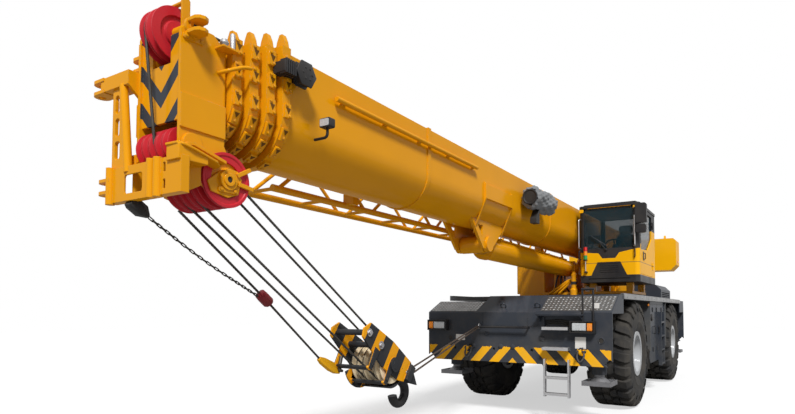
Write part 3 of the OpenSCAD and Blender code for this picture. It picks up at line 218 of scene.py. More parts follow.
# %% [markdown]
# ## Painted steel
# Most of the crane is sprayed steel. Seen close, the colour isn't even: it clouds a little,
# dust lies on it towards the ground, and on edges the paint is rubbed thin. The edge mask
# compares the true normal with a normal that Blender's Bevel node has rounded off; where
# they differ there is an edge. The same rounded normal makes CAD's sharp edges catch light.
# All the gloss comes from a thin clear coat: with the paint's own reflection on top of it,
# faces seen at a low angle would turn white.

# %% A painted finish
ROUND_EDGE, EDGE_SAMPLES = 0.007, 4
FLAT_ALIKE, EDGE_ALIKE = 0.985, 0.80
CLEAR_COAT, COAT_ROUGH = 0.28, 0.16
DUST = (0.30, 0.26, 0.20, 1)
DUST_NONE_Z, DUST_FULL_Z = 2.2, 0.6
CLOUD_SCALE, FILM_SCALE, PEEL_SCALE, SPECK_SCALE = 1.1, 3.2, 9, 46
CLOUD_SHADE, RUB_SHARE = 0.86, 0.55
made_finishes = []


def new_finish(name, **constants):
    material = bpy.data.materials.new(name)
    material.use_nodes = True
    shader = material.node_tree.nodes["Principled BSDF"]
    for socket, value in constants.items():
        shader.inputs[socket.replace("_", " ")].default_value = value
    start = Wire(material.node_tree)
    made_finishes.append(name)
    return material, shader, start, start.node("TexCoord", output="Object")


def plug(shader, **wires):
    for socket, wire in wires.items():
        wire.tree.links.new(wire.socket, shader.inputs[socket.replace("_", " ")])


def shade_of(colour, share):
    return tuple(share * c for c in colour[:3]) + (1,)


def rounded_normal(start, radius=ROUND_EDGE):
    return start.node("Bevel", {"samples": EDGE_SAMPLES}, {"Radius": radius})


def edge_mask(start, rounded):
    true_normal = start.node("NewGeometry", output="Normal")
    both_normals = {0: rounded, 1: true_normal}
    alike = start.node("VectorMath", {"operation": "DOT_PRODUCT"}, both_normals, "Value")
    return ramp_between(alike, FLAT_ALIKE, EDGE_ALIKE)


def bumped(height, normal, strength, distance=0.002):
    inputs = {"Strength": strength, "Distance": distance, "Height": height, "Normal": normal}
    return height.node("Bump", None, inputs)


def painted(name, colour, under, gloss=0.32, dusty=0.16, pattern=None):
    material, shader, start, point = new_finish(name, Specular_IOR_Level=0.0, Coat_Roughness=COAT_ROUGH)
    x, y, z = axes_of(point)
    speck = noise(point, SPECK_SCALE, 2)
    rounded = rounded_normal(start)
    tone = colour_mix(noise(point, CLOUD_SCALE, 4), shade_of(colour, CLOUD_SHADE), colour)
    if pattern:
        tone = pattern(tone, x + SLEW_BACK, y, z, speck)
    low = ramp_between(z, DUST_NONE_Z, DUST_FULL_Z) * 0.7 + 0.3
    film = ramp_between(noise(point, FILM_SCALE, 6, 0.12) * low, 0.25, 1.1) * dusty
    tone = colour_mix(film, tone, DUST)
    rubbed = edge_mask(start, rounded) * ramp_between(speck, 0.45, 0.75)
    tone = colour_mix(rubbed * RUB_SHARE, tone, under)
    plug(shader, Base_Color=tone, Roughness=speck * 0.06 + film * 0.9 + rubbed * 0.2 + gloss,
         Coat_Weight=(1 - rubbed) * (1 - film * 3) * CLEAR_COAT,
         Normal=bumped(speck * 0.4 + noise(point, PEEL_SCALE, 2), rounded, 0.10))
    return material


print("paint: edges rounded by", ROUND_EDGE, "m, clear coat", CLEAR_COAT)

# %% [markdown]
# ## Warning stripes
# Stripes are sprayed on the lower edge of the front panel and on the head's front plate.
# Each is a sum of two lengths divided by the stripe's width: `abs(y) + z` gives stripes that
# lean the same way on both sides of the middle, so they meet as arrows. Masks that compare a
# length with a limit keep the stripes on their own plate.

# %% Stripes on the front panel and the head
YELLOW = (0.78, 0.33, 0.004, 1)
BRIGHT_YELLOW = (0.90, 0.44, 0.004, 1)
SLATE = (0.040, 0.046, 0.058, 1)
PANEL_FACE, PANEL_HALF = 4.080, 1.56
FRONT_PITCH, FRONT_SLOPE, FRONT_FOOT, FRONT_TOP = 0.345, 0.92, 0.85, 1.085
HEAD_FRONT, BOOM_TOP, HEAD_PLATE_HALF = 10.15, 3.6901, 0.2155
CHEVRON_PITCH, CHEVRON_SLOPE = 0.262, 1.05


def front_stripes(tone, x, y, z, speck):
    lean = (abs(y) + (z - FRONT_FOOT) * FRONT_SLOPE) / FRONT_PITCH
    panel = (z < speck * 0.03 + FRONT_TOP) * (x > PANEL_FACE - 0.04) * (abs(y) < PANEL_HALF)
    return colour_mix(((lean + 0.29) % 1.0 < 0.50) * panel, tone, BRIGHT_YELLOW)


def head_chevrons(tone, x, y, z, speck):
    lean = (z - abs(y) * CHEVRON_SLOPE) / CHEVRON_PITCH
    in_depth = (x > HEAD_FRONT - 0.0405) * (x < HEAD_FRONT - 0.005)
    plate = in_depth * (z > BOOM_TOP - 0.735) * (abs(y) < HEAD_PLATE_HALF)
    return colour_mix(plate * ((lean + 0.30) % 1.0 < 0.42), tone, SLATE)


print("stripes", FRONT_PITCH, "m apart in front,", CHEVRON_PITCH, "m on the head")

# %% [markdown]
# The hook block hangs at a slant, so its stripes are worked out in its own two directions:
# along its cheeks and down its falls. Inside the cheeks a circle keeps the sheaves cream with
# dark grooves. The cab's black upper half ends in a bent line, a sum of two ramps.

# %% Stripes on the hook block, and the cab's two colours
CREAM = (0.76, 0.64, 0.44, 1)
GROOVE_DARK = (0.035, 0.028, 0.02, 1)
CAB_BLACK = (0.012, 0.012, 0.014, 1)
HOOK_AXLE = joint_at["hook_swing"] + Vector((SLEW_BACK, 0, 0))
FALL, FALL_TURN = 2.58, math.radians(55)
BLOCK_SHEAVE_R, SHEAVE_PITCH = 0.197, 0.0375
HOOK_PITCH, HOOK_STRIPE_END = 0.272, 0.40
CHEEK_IN, CHEEK_PAINT_OUT = 0.189, 0.2165
BLACK_FROM_Z, CAB_SEAM_Z = 2.89, 2.585


def hook_stripes(tone, x, y, z, speck):
    ahead, below = x - HOOK_AXLE.x, HOOK_AXLE.z - z
    along = ahead * math.cos(FALL_TURN) + below * math.sin(FALL_TURN)
    down = below * math.cos(FALL_TURN) - ahead * math.sin(FALL_TURN) - FALL
    sheave = (abs(y) < 0.187) * (along * along + down * down < BLOCK_SHEAVE_R ** 2)
    groove = (abs(y) / SHEAVE_PITCH + 0.12) % 1.0 < 0.24
    tone = colour_mix(sheave, tone, colour_mix(groove, CREAM, GROOVE_DARK))
    cheek = (abs(y) > CHEEK_IN) * (abs(y) < CHEEK_PAINT_OUT) * (down < HOOK_STRIPE_END)
    stripe = ((down + 0.013) / -HOOK_PITCH % 1.0 < 0.46) * cheek
    chipped = speck < 0.86
    return colour_mix(stripe * chipped, tone, YELLOW)


def cab_blackout(tone, x, y, z, speck):
    edge = ramp_between(x, 1.90, 0.68) * 0.24 + ramp_between(x, 0.68, 0.62) * 0.16 + BLACK_FROM_Z
    side = (y > 1.5) * (z - edge > 0)
    seam = (abs(z - CAB_SEAM_Z) < 0.006) * (x > 0.3)
    return colour_mix(seam * 0.7, colour_mix(side, tone, CAB_BLACK), SLATE)


print("hook axle at", tuple(round(v, 3) for v in HOOK_AXLE))

# %% [markdown]
# With the patterns ready, each paint is one line: its colour, what shows where it is rubbed,
# how matt it is and how much dust it holds. The boom is washed, the deck is walked on.

# %% The paints
PRIMER = (0.30, 0.27, 0.24, 1)
SCUFF = (0.16, 0.16, 0.16, 1)
HOOK_BLACK, DECK_GREY = (0.030, 0.032, 0.036, 1), (0.085, 0.088, 0.092, 1)
# The first colour on the next line is painted shadow: the dark brown of the triangles on the collars' pads.
PAINTED_SHADOW_BROWN, RIM_GREY = (0.15, 0.060, 0.003, 1), (0.43, 0.44, 0.45, 1)
boom_paint = painted("boom_paint", YELLOW, PRIMER, dusty=0.05)
head_paint = painted("head_paint", YELLOW, PRIMER, dusty=0.05, pattern=head_chevrons)
cab_paint = painted("cab_paint", BRIGHT_YELLOW, PRIMER, gloss=0.24, dusty=0.06, pattern=cab_blackout)
weight_paint = painted("weight_paint", BRIGHT_YELLOW, PRIMER, gloss=0.28)
slate_paint = painted("slate_paint", SLATE, SCUFF, gloss=0.40)
panel_paint = painted("panel_paint", SLATE, SCUFF, gloss=0.40, pattern=front_stripes)
hook_paint = painted("hook_paint", HOOK_BLACK, SCUFF, gloss=0.45, dusty=0.08, pattern=hook_stripes)
deck_paint = painted("deck_paint", DECK_GREY, SCUFF, gloss=0.55, dusty=0.3)
# Painted shadow: the finish of the collars' thin brown triangles, which stand where the pads' shade falls.
painted_shadow_paint = painted("painted_shadow_paint", PAINTED_SHADOW_BROWN, PRIMER, dusty=0.05)
rim_paint = painted("rim_paint", RIM_GREY, (0.2, 0.2, 0.2, 1), gloss=0.30, dusty=0.25)
print("painted finishes:", len(made_finishes))

# %% [markdown]
# ## Metal, rubber, plastic and glass
# Bare metal is drawn along one direction, so its noise is stretched. Rubber is nearly black
# and matt, and it holds brown dust where it flexes. The windows are tinted: a dark sheet that
# lets part of what is behind it through, by its alpha. Cloth gets two crossed threads.

# %% How the other finishes are made
GRIME = (0.035, 0.03, 0.025, 1)


def metal(name, colour, rough, stretch=(4, 60, 60), grime=0.25, metallic=1.0):
    material, shader, start, point = new_finish(name, Metallic=metallic)
    drawn = noise(point.node("Mapping", None, {"Vector": point, "Scale": stretch}), 4, 3)
    dirt = noise(point, 7, 5, 0.1)
    plug(shader, Base_Color=colour_mix(dirt * grime, colour, GRIME),
         Roughness=drawn * 0.12 + dirt * grime * 0.6 + rough,
         Normal=bumped(drawn, rounded_normal(start, 0.003), 0.06))
    return material


def moulded(name, colour, rough, grain=220, dusty=0.10):
    material, shader, start, point = new_finish(name, Specular_IOR_Level=0.25)
    pebble = noise(point, grain, 2)
    film = noise(point, 4, 5, 0.15)
    plug(shader, Base_Color=colour_mix(film * dusty, colour, DUST),
         Roughness=pebble * 0.1 + film * 0.12 + rough,
         Normal=bumped(pebble, rounded_normal(start, 0.005), 0.18))
    return material


def clear(name, colour, alpha, rough=0.03, streak=0.10):
    material, shader, start, point = new_finish(name, IOR=1.5, Specular_IOR_Level=0.22)
    film = noise(point, 2.6, 6, 0.1)
    plug(shader, Base_Color=colour_mix(film * streak, colour, DUST),
         Alpha=film * streak * 0.5 + alpha, Roughness=film * 0.05 + rough)
    return material


def lens_of(name, colour, glow=0.12):
    constants = {"IOR": 1.49, "Emission_Strength": glow, "Coat_Weight": 0.6}
    material, shader, start, point = new_finish(name, **constants)
    cell = noise(point, 60, 1)
    tone = colour_mix(cell * 0.5, colour, shade_of(colour, 0.45))
    plug(shader, Base_Color=tone, Emission_Color=tone, Roughness=cell * 0.1 + 0.08)
    return material


def woven(name, colour, thread):
    material, shader, start, point = new_finish(name, Sheen_Weight=0.06, Specular_IOR_Level=0.15)
    x, y, z = axes_of(point)
    warp = ((x + z) / thread % 1.0) - 0.5
    weft = ((y - z * 0.5) / thread % 1.0) - 0.5
    worn = noise(point, 6, 4)
    pale = tuple(min(1, 1.7 * c + 0.01) for c in colour[:3]) + (1,)
    true_normal = start.node("NewGeometry", output="Normal")
    plug(shader, Base_Color=colour_mix(worn * 0.5, colour, pale), Roughness=worn * 0.1 + 0.75,
         Normal=bumped(warp * weft * 4 + 0.5, true_normal, 0.3, 0.0015))
    return material


print("five more kinds of finish")

# %% [markdown]
# The same few functions give every other finish. Colours are dark, as real rubber and steel
# are: a black tyre still sends back about two per cent of the light.

# %% Metals, rubbers, cloths and lenses
chrome = metal("rod_chrome", (0.72, 0.72, 0.74, 1), 0.09, grime=0.05)
aluminium = metal("step_aluminium", (0.66, 0.66, 0.67, 1), 0.30)
tread_plate = metal("tread_plate", (0.34, 0.34, 0.34, 1), 0.40)
worn_plate = metal("worn_plate", (0.17, 0.17, 0.165, 1), 0.50)
bare_steel = metal("bare_steel", (0.42, 0.42, 0.43, 1), 0.34)
float_steel = metal("float_steel", (0.24, 0.24, 0.25, 1), 0.50)
cast_iron = metal("cast_iron", (0.045, 0.046, 0.05, 1), 0.45, (9, 9, 9), 0.35, 0.35)
rope_wire = metal("rope_wire", (0.075, 0.070, 0.062, 1), 0.42, (30, 30, 30), 0.5, 0.6)
mirror_glass = metal("mirror_glass", (0.7, 0.72, 0.74, 1), 0.02, grime=0.03)
tyre_rubber = moulded("tyre_rubber", (0.017, 0.017, 0.018, 1), 0.72, 90, 0.13)
black_rubber = moulded("black_rubber", (0.012, 0.012, 0.013, 1), 0.62, 160, 0.12)
black_plastic = moulded("black_plastic", (0.014, 0.014, 0.016, 1), 0.36, 260, 0.05)
red_nylon = moulded("red_nylon", (0.52, 0.014, 0.026, 1), 0.30, 40, 0.03)
weight_red = moulded("weight_red", (0.20, 0.010, 0.016, 1), 0.40, 40, 0.08)
blank_label = moulded("blank_label", (0.72, 0.71, 0.68, 1), 0.45, 40, 0.12)
grey_wrap = woven("grey_wrap", (0.16, 0.165, 0.17, 1), 0.02)
seat_cloth = woven("seat_cloth", (0.020, 0.021, 0.024, 1), 0.006)
sling_web = woven("sling_web", (0.040, 0.024, 0.014, 1), 0.008)
window_tint = clear("window_tint", (0.006, 0.028, 0.040, 1), 0.46, streak=0.04)
clear_lens = lens_of("clear_lens", (0.52, 0.54, 0.55, 1), 0.06)
amber_lens = lens_of("amber_lens", (0.86, 0.26, 0.010, 1))
red_lens = lens_of("red_lens", (0.60, 0.010, 0.010, 1))
green_lens = lens_of("green_lens", (0.015, 0.30, 0.08, 1))
print("finishes in all:", len(made_finishes))

# %% [markdown]
# ## A finish for every solid
# The CAD solids whose shape is right stay as they are and only get a finish. A solid's name
# says what it is, so one table from finishes to names is enough. The lift rod is chrome with
# a painted eye on its end, so it gets two slots.

# %% Finishes on the CAD nodes
FINISH_OF = (
    (slate_paint, "carrier_frame rear_housing side_lockers engine_hood beam"),
    (panel_paint, "front_housing"),
    (deck_paint, "deck"),
    (cast_iron, "engine front_axle rear_axle knuckle"),
    (aluminium, "front_steps"),
    (black_plastic, "headlamps cab_base cab_frame cab_mirror cable_reel"),
    (bare_steel, "slew_ring"),
    (boom_paint, "turntable hydraulic_tank jib_bracket stowed_jib lift_barrel boom"),
    (head_paint, "boom_section_5"),
    (weight_paint, "counterweight"),
    (rope_wire, "winches hook_falls"),
    (cab_paint, "cab_tub cab_door"),
    (window_tint, "cab_glass door_glass"),
    (seat_cloth, "cab_seat"),
    (red_nylon, "head_sheaves"),
    (chrome, "lift_rod"),
    (hook_paint, "hook_block"),
    (rim_paint, "rim"),
    (tyre_rubber, "tyre"),
    (float_steel, "jack"),
)
finish_by_name = {name: finish for finish, names in FINISH_OF for name in names.split()}
for name, solid in nodes.items():
    finish = finish_by_name.get(name) or finish_by_name[name.split("_")[0]]
    solid.data.materials.clear()
    solid.data.materials.append(finish)

EYE_LENGTH = 0.30
rod = nodes["lift_rod"].data
rod.materials.append(boom_paint)
eye_start = max(vertex.co.x for vertex in rod.vertices) - EYE_LENGTH
for face in rod.polygons:
    face.material_index = int(face.center.x > eye_start)
print("dressed nodes:", len(nodes))

# %% [markdown]
# ## Tools for making pieces
# A few small functions make nearly every piece. The first is the loft: rings of points, each
# joined to the next by a band of faces. A tube is a loft along a line, and a line is eased at
# its corners, as a pipe bender leaves it, or cut into even steps where it has to bend later.

# %% Lofts, lines and tubes
ALONG, ACROSS, UP = Vector((1, 0, 0)), Vector((0, 1, 0)), Vector((0, 0, 1))


def loft(bm, rings, ends=True):
    rows = [[bm.verts.new(point) for point in ring] for ring in rings]
    count = len(rows[0])
    for first, second in zip(rows, rows[1:]):
        for i in range(count):
            j = (i + 1) % count
            bm.faces.new((first[i], first[j], second[j], second[i]))
    if ends:
        bm.faces.new(rows[0][::-1])
        bm.faces.new(rows[-1])


def side_axes(direction):
    direction = Vector(direction).normalized()
    helper = UP if abs(direction.z) < 0.9 else ALONG
    side = direction.cross(helper).normalized()
    return side, direction.cross(side)


def full_turn(count, extra=0):
    return [2 * math.pi * i / count for i in range(count + extra)]


def tube(bm, points, radius, sides=10, lay=0.0, lobe=1.0):
    points = [Vector(p) for p in points]
    side, lift = side_axes(points[1] - points[0])
    rings, run = [], 0.0
    for k, point in enumerate(points):
        before, after = points[max(k - 1, 0)], points[min(k + 1, len(points) - 1)]
        ahead = (after - before).normalized()
        side = (side - ahead * side.dot(ahead)).normalized()
        lift = ahead.cross(side)
        run += (point - before).length
        twist = 2 * math.pi * run / lay if lay else 0
        ring = []
        for i, angle in enumerate(full_turn(sides)):
            reach = radius * (lobe if i % 2 else 1)
            a = angle + twist
            ring.append(point + side * (reach * math.cos(a)) + lift * (reach * math.sin(a)))
        rings.append(ring)
    loft(bm, rings)


def eased(points, radius, steps=6):
    points = [Vector(p) for p in points]
    line = [points[0]]
    for a, b, c in zip(points, points[1:], points[2:]):
        into, out = (a - b), (c - b)
        reach = min(radius, into.length * 0.49, out.length * 0.49)
        start, stop = b + into.normalized() * reach, b + out.normalized() * reach
        for k in range(steps + 1):
            t = k / steps
            line.append(start * (1 - t) ** 2 + b * (2 * t * (1 - t)) + stop * t ** 2)
    return line + [points[-1]]


def spaced(points, step):
    line = [Vector(points[0])]
    for a, b in zip(points, points[1:]):
        a, b = Vector(a), Vector(b)
        count = max(1, round((b - a).length / step))
        line += [a.lerp(b, k / count) for k in range(1, count + 1)]
    return line


print("an eased corner has", len(eased([(0, 0, 0), (1, 0, 0), (1, 1, 0)], 0.1)), "points")

# %% [markdown]
# Turned forms, flat outlines with a thickness, and bolts are lofts too. A closed ring such as
# a washer is lofted round its axis instead of along it. Sheet parts on the crane's two sides
# are mirror images, so `side_slab` takes the side as 1 or -1.

# %% Turned forms, slabs and bolts
POINT_R, SAME_PLACE = 1e-5, 1e-6


def turned(bm, profile, centre, axis, steps=40):
    centre, axis = Vector(centre), Vector(axis).normalized()
    side, lift = side_axes(axis)
    spokes = [side * math.cos(a) + lift * math.sin(a) for a in full_turn(steps)]
    rings = []
    for radius, run in profile:
        rings.append([centre + axis * run + out * max(radius, POINT_R) for out in spokes])
    loft(bm, rings)


def ring_of(bm, profile, centre, axis, steps=40):
    centre, axis = Vector(centre), Vector(axis).normalized()
    side, lift = side_axes(axis)
    rings = []
    for a in full_turn(steps):
        out = side * math.cos(a) + lift * math.sin(a)
        rings.append([centre + axis * run + out * radius for radius, run in profile])
    loft(bm, rings + rings[:1], ends=False)
    bmesh.ops.remove_doubles(bm, verts=bm.verts, dist=SAME_PLACE)


def slab(bm, outline, axis, low, high):
    order = {"X": (2, 0, 1), "Y": (0, 2, 1), "Z": (0, 1, 2)}[axis]
    rings = []
    for level in (low, high):
        rings.append([Vector([(u, v, level)[k] for k in order]) for u, v in outline])
    loft(bm, rings)


def side_slab(bm, outline, side, near, far):
    slab(bm, outline, "Y", *sorted((side * near, side * far)))


def box(bm, low, high):
    (x0, y0, z0), (x1, y1, z1) = low, high
    slab(bm, [(x0, y0), (x1, y0), (x1, y1), (x0, y1)], "Z", z0, z1)


def rounded_box(u0, u1, v0, v1, r, steps=4):
    outline = []
    middles = ((u1 - r, v1 - r), (u0 + r, v1 - r), (u0 + r, v0 + r), (u1 - r, v0 + r))
    for quarter, (cu, cv) in enumerate(middles):
        for k in range(steps + 1):
            a = math.radians(90 * (quarter + k / steps))
            outline.append((cu + r * math.cos(a), cv + r * math.sin(a)))
    return outline


def bolt(bm, at, axis, size):
    washer_r, head_r, point_r = size * 0.72, size * 0.52, size * 0.44
    turned(bm, [(washer_r, 0), (washer_r, size * 0.10)], at, axis, 14)
    turned(bm, [(head_r, size * 0.09), (head_r, size * 0.40), (point_r, size * 0.46)], at, axis, 6)


def bolt_circle(bm, centre, axis, radius, count, size):
    side, lift = side_axes(axis)
    for a in full_turn(count):
        bolt(bm, Vector(centre) + (side * math.cos(a) + lift * math.sin(a)) * radius, axis, size)


print("a rounded outline has", len(rounded_box(0, 1, 0, 1, 0.1)), "points")

# %% [markdown]
# All these tools add to one bmesh, so a piece of many parts stays one object. `piece` turns
# that bmesh into an object, rounds its edges with a Bevel modifier and lets it ride on a body
# of the frame, so that it follows the crane's joints. A piece that crosses a joint is baked in
# place instead and rides on no body.

# %% From a bmesh to a piece
BEVEL_STEPS, BEVEL_ANGLE = 2, math.radians(35)
made_pieces = []


def piece(name, bm, finish, body, bevel=0.0, smooth=38, blend=None):
    bmesh.ops.recalc_face_normals(bm, faces=bm.faces)
    bm.transform(Matrix.Translation((-SLEW_BACK, 0, 0)))
    mesh = bpy.data.meshes.new(name)
    bm.to_mesh(mesh)
    bm.free()
    mesh.materials.append(finish)
    mesh.shade_smooth()
    mesh.set_sharp_from_angle(angle=math.radians(smooth))
    made = bpy.data.objects.new(name, mesh)
    scene.collection.objects.link(made)
    if bevel:
        rounding = made.modifiers.new("rounded_edges", "BEVEL")
        rounding.width, rounding.segments, rounding.angle_limit = bevel, BEVEL_STEPS, BEVEL_ANGLE
    if blend:
        first, second, x0, x1 = blend
        x0 - SLEW_BACK
        x1 - SLEW_BACK
        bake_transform(made)
    else:
        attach(made, body)
    made_pieces.append(made)
    return made


# %% [markdown]
# ## Tyres
# The tyre of such a crane has two rows of heavy blocks: short ones along the middle and long
# ones that wrap over the shoulder and run down the side wall. A plain turned form carries
# them. Each block is lofted through a few stations across the tread, so it bends with the
# tyre's own cross-section and narrows towards its top as a moulded block does.

# %% Tyre with blocks
WHEEL_Z, TRACK_HALF, AXLE_X = 0.93, 1.23, 2.15
BLOCKS, BLOCK_TAPER, MIDDLE_LAG = 24, 0.10, 0.12
WHEELS = {"fl": (1, 1), "fr": (1, -1), "rl": (-1, 1), "rr": (-1, -1)}
CASING = [
    (0.352, -0.300), (0.392, -0.304), (0.400, -0.318), (0.430, -0.326), (0.470, -0.346),
    (0.540, -0.358), (0.556, -0.364), (0.575, -0.358), (0.650, -0.362), (0.740, -0.352),
    (0.800, -0.338), (0.850, -0.318), (0.876, -0.290), (0.884, -0.240), (0.884, 0.0),
]
# each station: place across the tyre, top radius, depth, start and end in shares of the pitch
SHOULDER_BLOCK = [
    (0.135, 0.930, 0.060, 0.30, 0.88), (0.230, 0.930, 0.060, 0.14, 0.80), (0.296, 0.922, 0.062, 0.06, 0.76),
    (0.336, 0.884, 0.060, 0.05, 0.74), (0.358, 0.830, 0.040, 0.08, 0.70), (0.3615, 0.770, 0.030, 0.14, 0.62),
]
MIDDLE_BLOCK = [
    (0.006, 0.930, 0.060, 0.16, 0.66), (0.060, 0.930, 0.060, 0.06, 0.84), (0.112, 0.930, 0.060, 0.20, 0.90),
]


def tread_block(bm, stations, side, pitch_angle, at_angle):
    rings = []
    for y, top, depth, start, stop in stations:
        base = top - depth
        inset = (stop - start) * BLOCK_TAPER
        ring = []
        for radius, a in ((base, start), (top, start + inset), (top, stop - inset), (base, stop)):
            angle = at_angle + a * pitch_angle
            ring.append(Vector((radius * math.cos(angle), side * y, radius * math.sin(angle))))
        rings.append(ring)
    loft(bm, rings)


def block_tyre():
    bm = bmesh.new()
    profile = CASING + [(r, -y) for r, y in CASING[-2::-1]]
    ring_of(bm, profile, (0, 0, 0), ACROSS, 96)
    pitch = 2 * math.pi / BLOCKS
    for i in range(BLOCKS):
        for side, stagger in ((-1, 0), (1, 0.5)):
            at = (i + stagger) * pitch
            tread_block(bm, SHOULDER_BLOCK, side, pitch, at)
            tread_block(bm, MIDDLE_BLOCK, side, pitch, at + MIDDLE_LAG * pitch)
    return bm


def at_wheel(bm, key):
    front, left = WHEELS[key]
    turn = Matrix.Identity(4) if left > 0 else Matrix.Rotation(math.pi, 4, "Z")
    bm.transform(Matrix.Translation((front * AXLE_X, left * TRACK_HALF, WHEEL_Z)) @ turn)
    return bm


for key in WHEELS:
    bm = at_wheel(block_tyre(), key)
    tyre = piece("tyre_blocks_" + key, bm, tyre_rubber, "wheel_" + key, smooth=32)
    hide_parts("tyre_" + key)
print("tyre faces:", len(tyre.data.polygons))

# %% [markdown]
# ## Wheel nuts
# Twenty nuts hold each wheel to its hub, and a ring of small bolts closes the hub's gears.
# Without them a wheel reads as a toy, because nothing gives its size away.

# %% Wheel nuts and valve
DISC_FACE, HUB_FACE, CAP_FACE, BUTTON_FACE = -0.032, 0.008, 0.108, 0.153
NUT_RINGS = ((DISC_FACE, 0.245, 20, 0.034), (HUB_FACE, 0.190, 16, 0.018), (CAP_FACE, 0.143, 10, 0.018))
VALVE = [(0.30, 0.02, 0.03), (0.285, 0.07, 0.03), (0.285, 0.13, 0.03)]
for key in WHEELS:
    bm = bmesh.new()
    for face, radius, count, size in NUT_RINGS:
        bolt_circle(bm, (0, face, 0), ACROSS, radius, count, size)
    tube(bm, eased(VALVE, 0.03), 0.007, 8)
    turned(bm, [(0.05, 0), (0.046, 0.012), (0.0, 0.014)], (0, BUTTON_FACE, 0), ACROSS, 20)
    piece("wheel_nuts_" + key, at_wheel(bm, key), bare_steel, "wheel_" + key)
print("wheel nuts on", len(WHEELS), "wheels")

# %% [markdown]
# ## The carrier's front
# The front panel is busy: chequered tread plate on the slope, lamps in deep boxes, a step
# shelf, caps over bolt holes, and bare label plates. Tread plate could be a bump map, but its
# lugs are 5 mm high and catch the light one by one, so each is a small real lozenge.

# %% Chequer plate
SLOPE_LOW = PANEL_FACE * ALONG + 1.66 * UP
slope_run = Vector((-0.5, 0, 0.28)).normalized()
slope_up = ACROSS.cross(slope_run)
right_run = Vector((-0.41, 0, 0.19)).normalized()
right_up = ACROSS.cross(right_run)
LUG_PITCH, LUG_LONG, LUG_WIDE, LUG_RISE, LUG_TOP = 0.058, 0.023, 0.009, 0.005, 0.6
SHEET, SHEET_GAP = 0.004, 0.0005


def chequer(sheet, lugs, origin, along, normal, width, length):
    def at(u, v, h):
        return origin + ACROSS * u + along * v + normal * h

    outline = ((0, 0), (width, 0), (width, length), (0, length))
    loft(sheet, [[at(u, v, h) for u, v in outline] for h in (SHEET_GAP, SHEET)])
    rows, columns = int(length / LUG_PITCH), int(width / LUG_PITCH)
    for i in range(columns):
        for j in range(rows):
            u, v = (i + 0.5) * width / columns, (j + 0.5) * length / rows
            lean = 1 if (i + j) % 2 else -1
            long = Vector((lean, 1)).normalized()
            wide = Vector((-long.y, long.x))
            spots = [long * LUG_LONG, wide * LUG_WIDE, long * -LUG_LONG, wide * -LUG_WIDE]
            foot = [at(u + s.x, v + s.y, SHEET - SHEET_GAP) for s in spots]
            top = [at(u + s.x * LUG_TOP, v + s.y * LUG_TOP, SHEET + LUG_RISE) for s in spots]
            loft(lugs, [foot, top])


sheet, lugs = bmesh.new(), bmesh.new()
left_corner = SLOPE_LOW + slope_run * 0.05 + ACROSS * 0.46
right_corner = SLOPE_LOW + right_run * 0.04 - ACROSS * 1.56
chequer(sheet, lugs, left_corner, slope_run, slope_up, 1.10, 0.46)
chequer(sheet, lugs, right_corner, right_run, right_up, 0.90, 0.38)
piece("chequer_plates", sheet, worn_plate, "carrier", smooth=20)
plates = piece("chequer_lugs", lugs, aluminium, "carrier", smooth=20)
print("chequer lug faces:", len(plates.data.polygons))

# %% [markdown]
# A lamp's lens is moulded with upright ribs that spread its light. A rib is only a few
# millimetres high, but it breaks up the reflection, so the lens is lofted from side to side
# with every second ring pushed out.

# %% Lamps and lenses
LAMP_FACE, LENS_BULGE, RIB_RISE, LENS_EDGE = PANEL_FACE + 0.091, 0.012, 0.004, 0.012
LAMP_Z = (1.382, 1.498)
TURN_LAMP_W, HEADLAMP_AT = 0.075, 0.095


def ribbed_lens(bm, y0, y1, ribs):
    z0, z1 = LAMP_Z
    rings = []
    for k in range(ribs * 2 + 1):
        y = y0 + (y1 - y0) * k / (ribs * 2)
        out = LAMP_FACE + LENS_BULGE + (RIB_RISE if k % 2 else 0)
        section = ((LAMP_FACE, z0), (out, z0 + LENS_EDGE), (out, z1 - LENS_EDGE), (LAMP_FACE, z1))
        rings.append([Vector((x, y, z)) for x, z in section])
    loft(bm, rings)


white, amber = bmesh.new(), bmesh.new()
for outer, inner in ((1.31, 1.01), (-1.515, -1.215)):
    toward = 1 if inner > outer else -1
    ribbed_lens(amber, *sorted((outer, outer + toward * TURN_LAMP_W)), 5)
    ribbed_lens(white, *sorted((outer + toward * HEADLAMP_AT, inner)), 9)
piece("headlamp_lenses", white, clear_lens, "carrier", smooth=25)
piece("turn_lamp_lenses", amber, amber_lens, "carrier", smooth=25)
print("lamp lenses at", round(LAMP_FACE, 3))

# %% [markdown]
# The step shelf is a folded plate with a rolled lip. Caps, eyes, seams and label plates are
# single small forms. They are kept bare: a label plate is only a white plate here.

# %% Shelf, caps and eyes
SHELF_LIP = [
    (0, 1.606), (0.150, 1.606), (0.160, 1.632), (0.150, 1.672), (0.138, 1.672), (0.142, 1.634), (0, 1.634),
]
GUSSET = [(0, 1.606), (0.14, 1.606), (0, 1.50)]
CAPS = ((-0.465, 1.316), (-0.693, 1.105), (-0.204, 1.105), (0.006, 1.105), (0.498, 1.25))
SOCKETS = ((-1.135, 1.225), (1.418, 1.24))
SEAM_HALF, SEAM_OUT = 0.004, PANEL_FACE + 0.004
EYE_R, EYE_WIRE = 0.045, 0.011


def off_panel(outline):
    return [(PANEL_FACE + out, z) for out, z in outline]


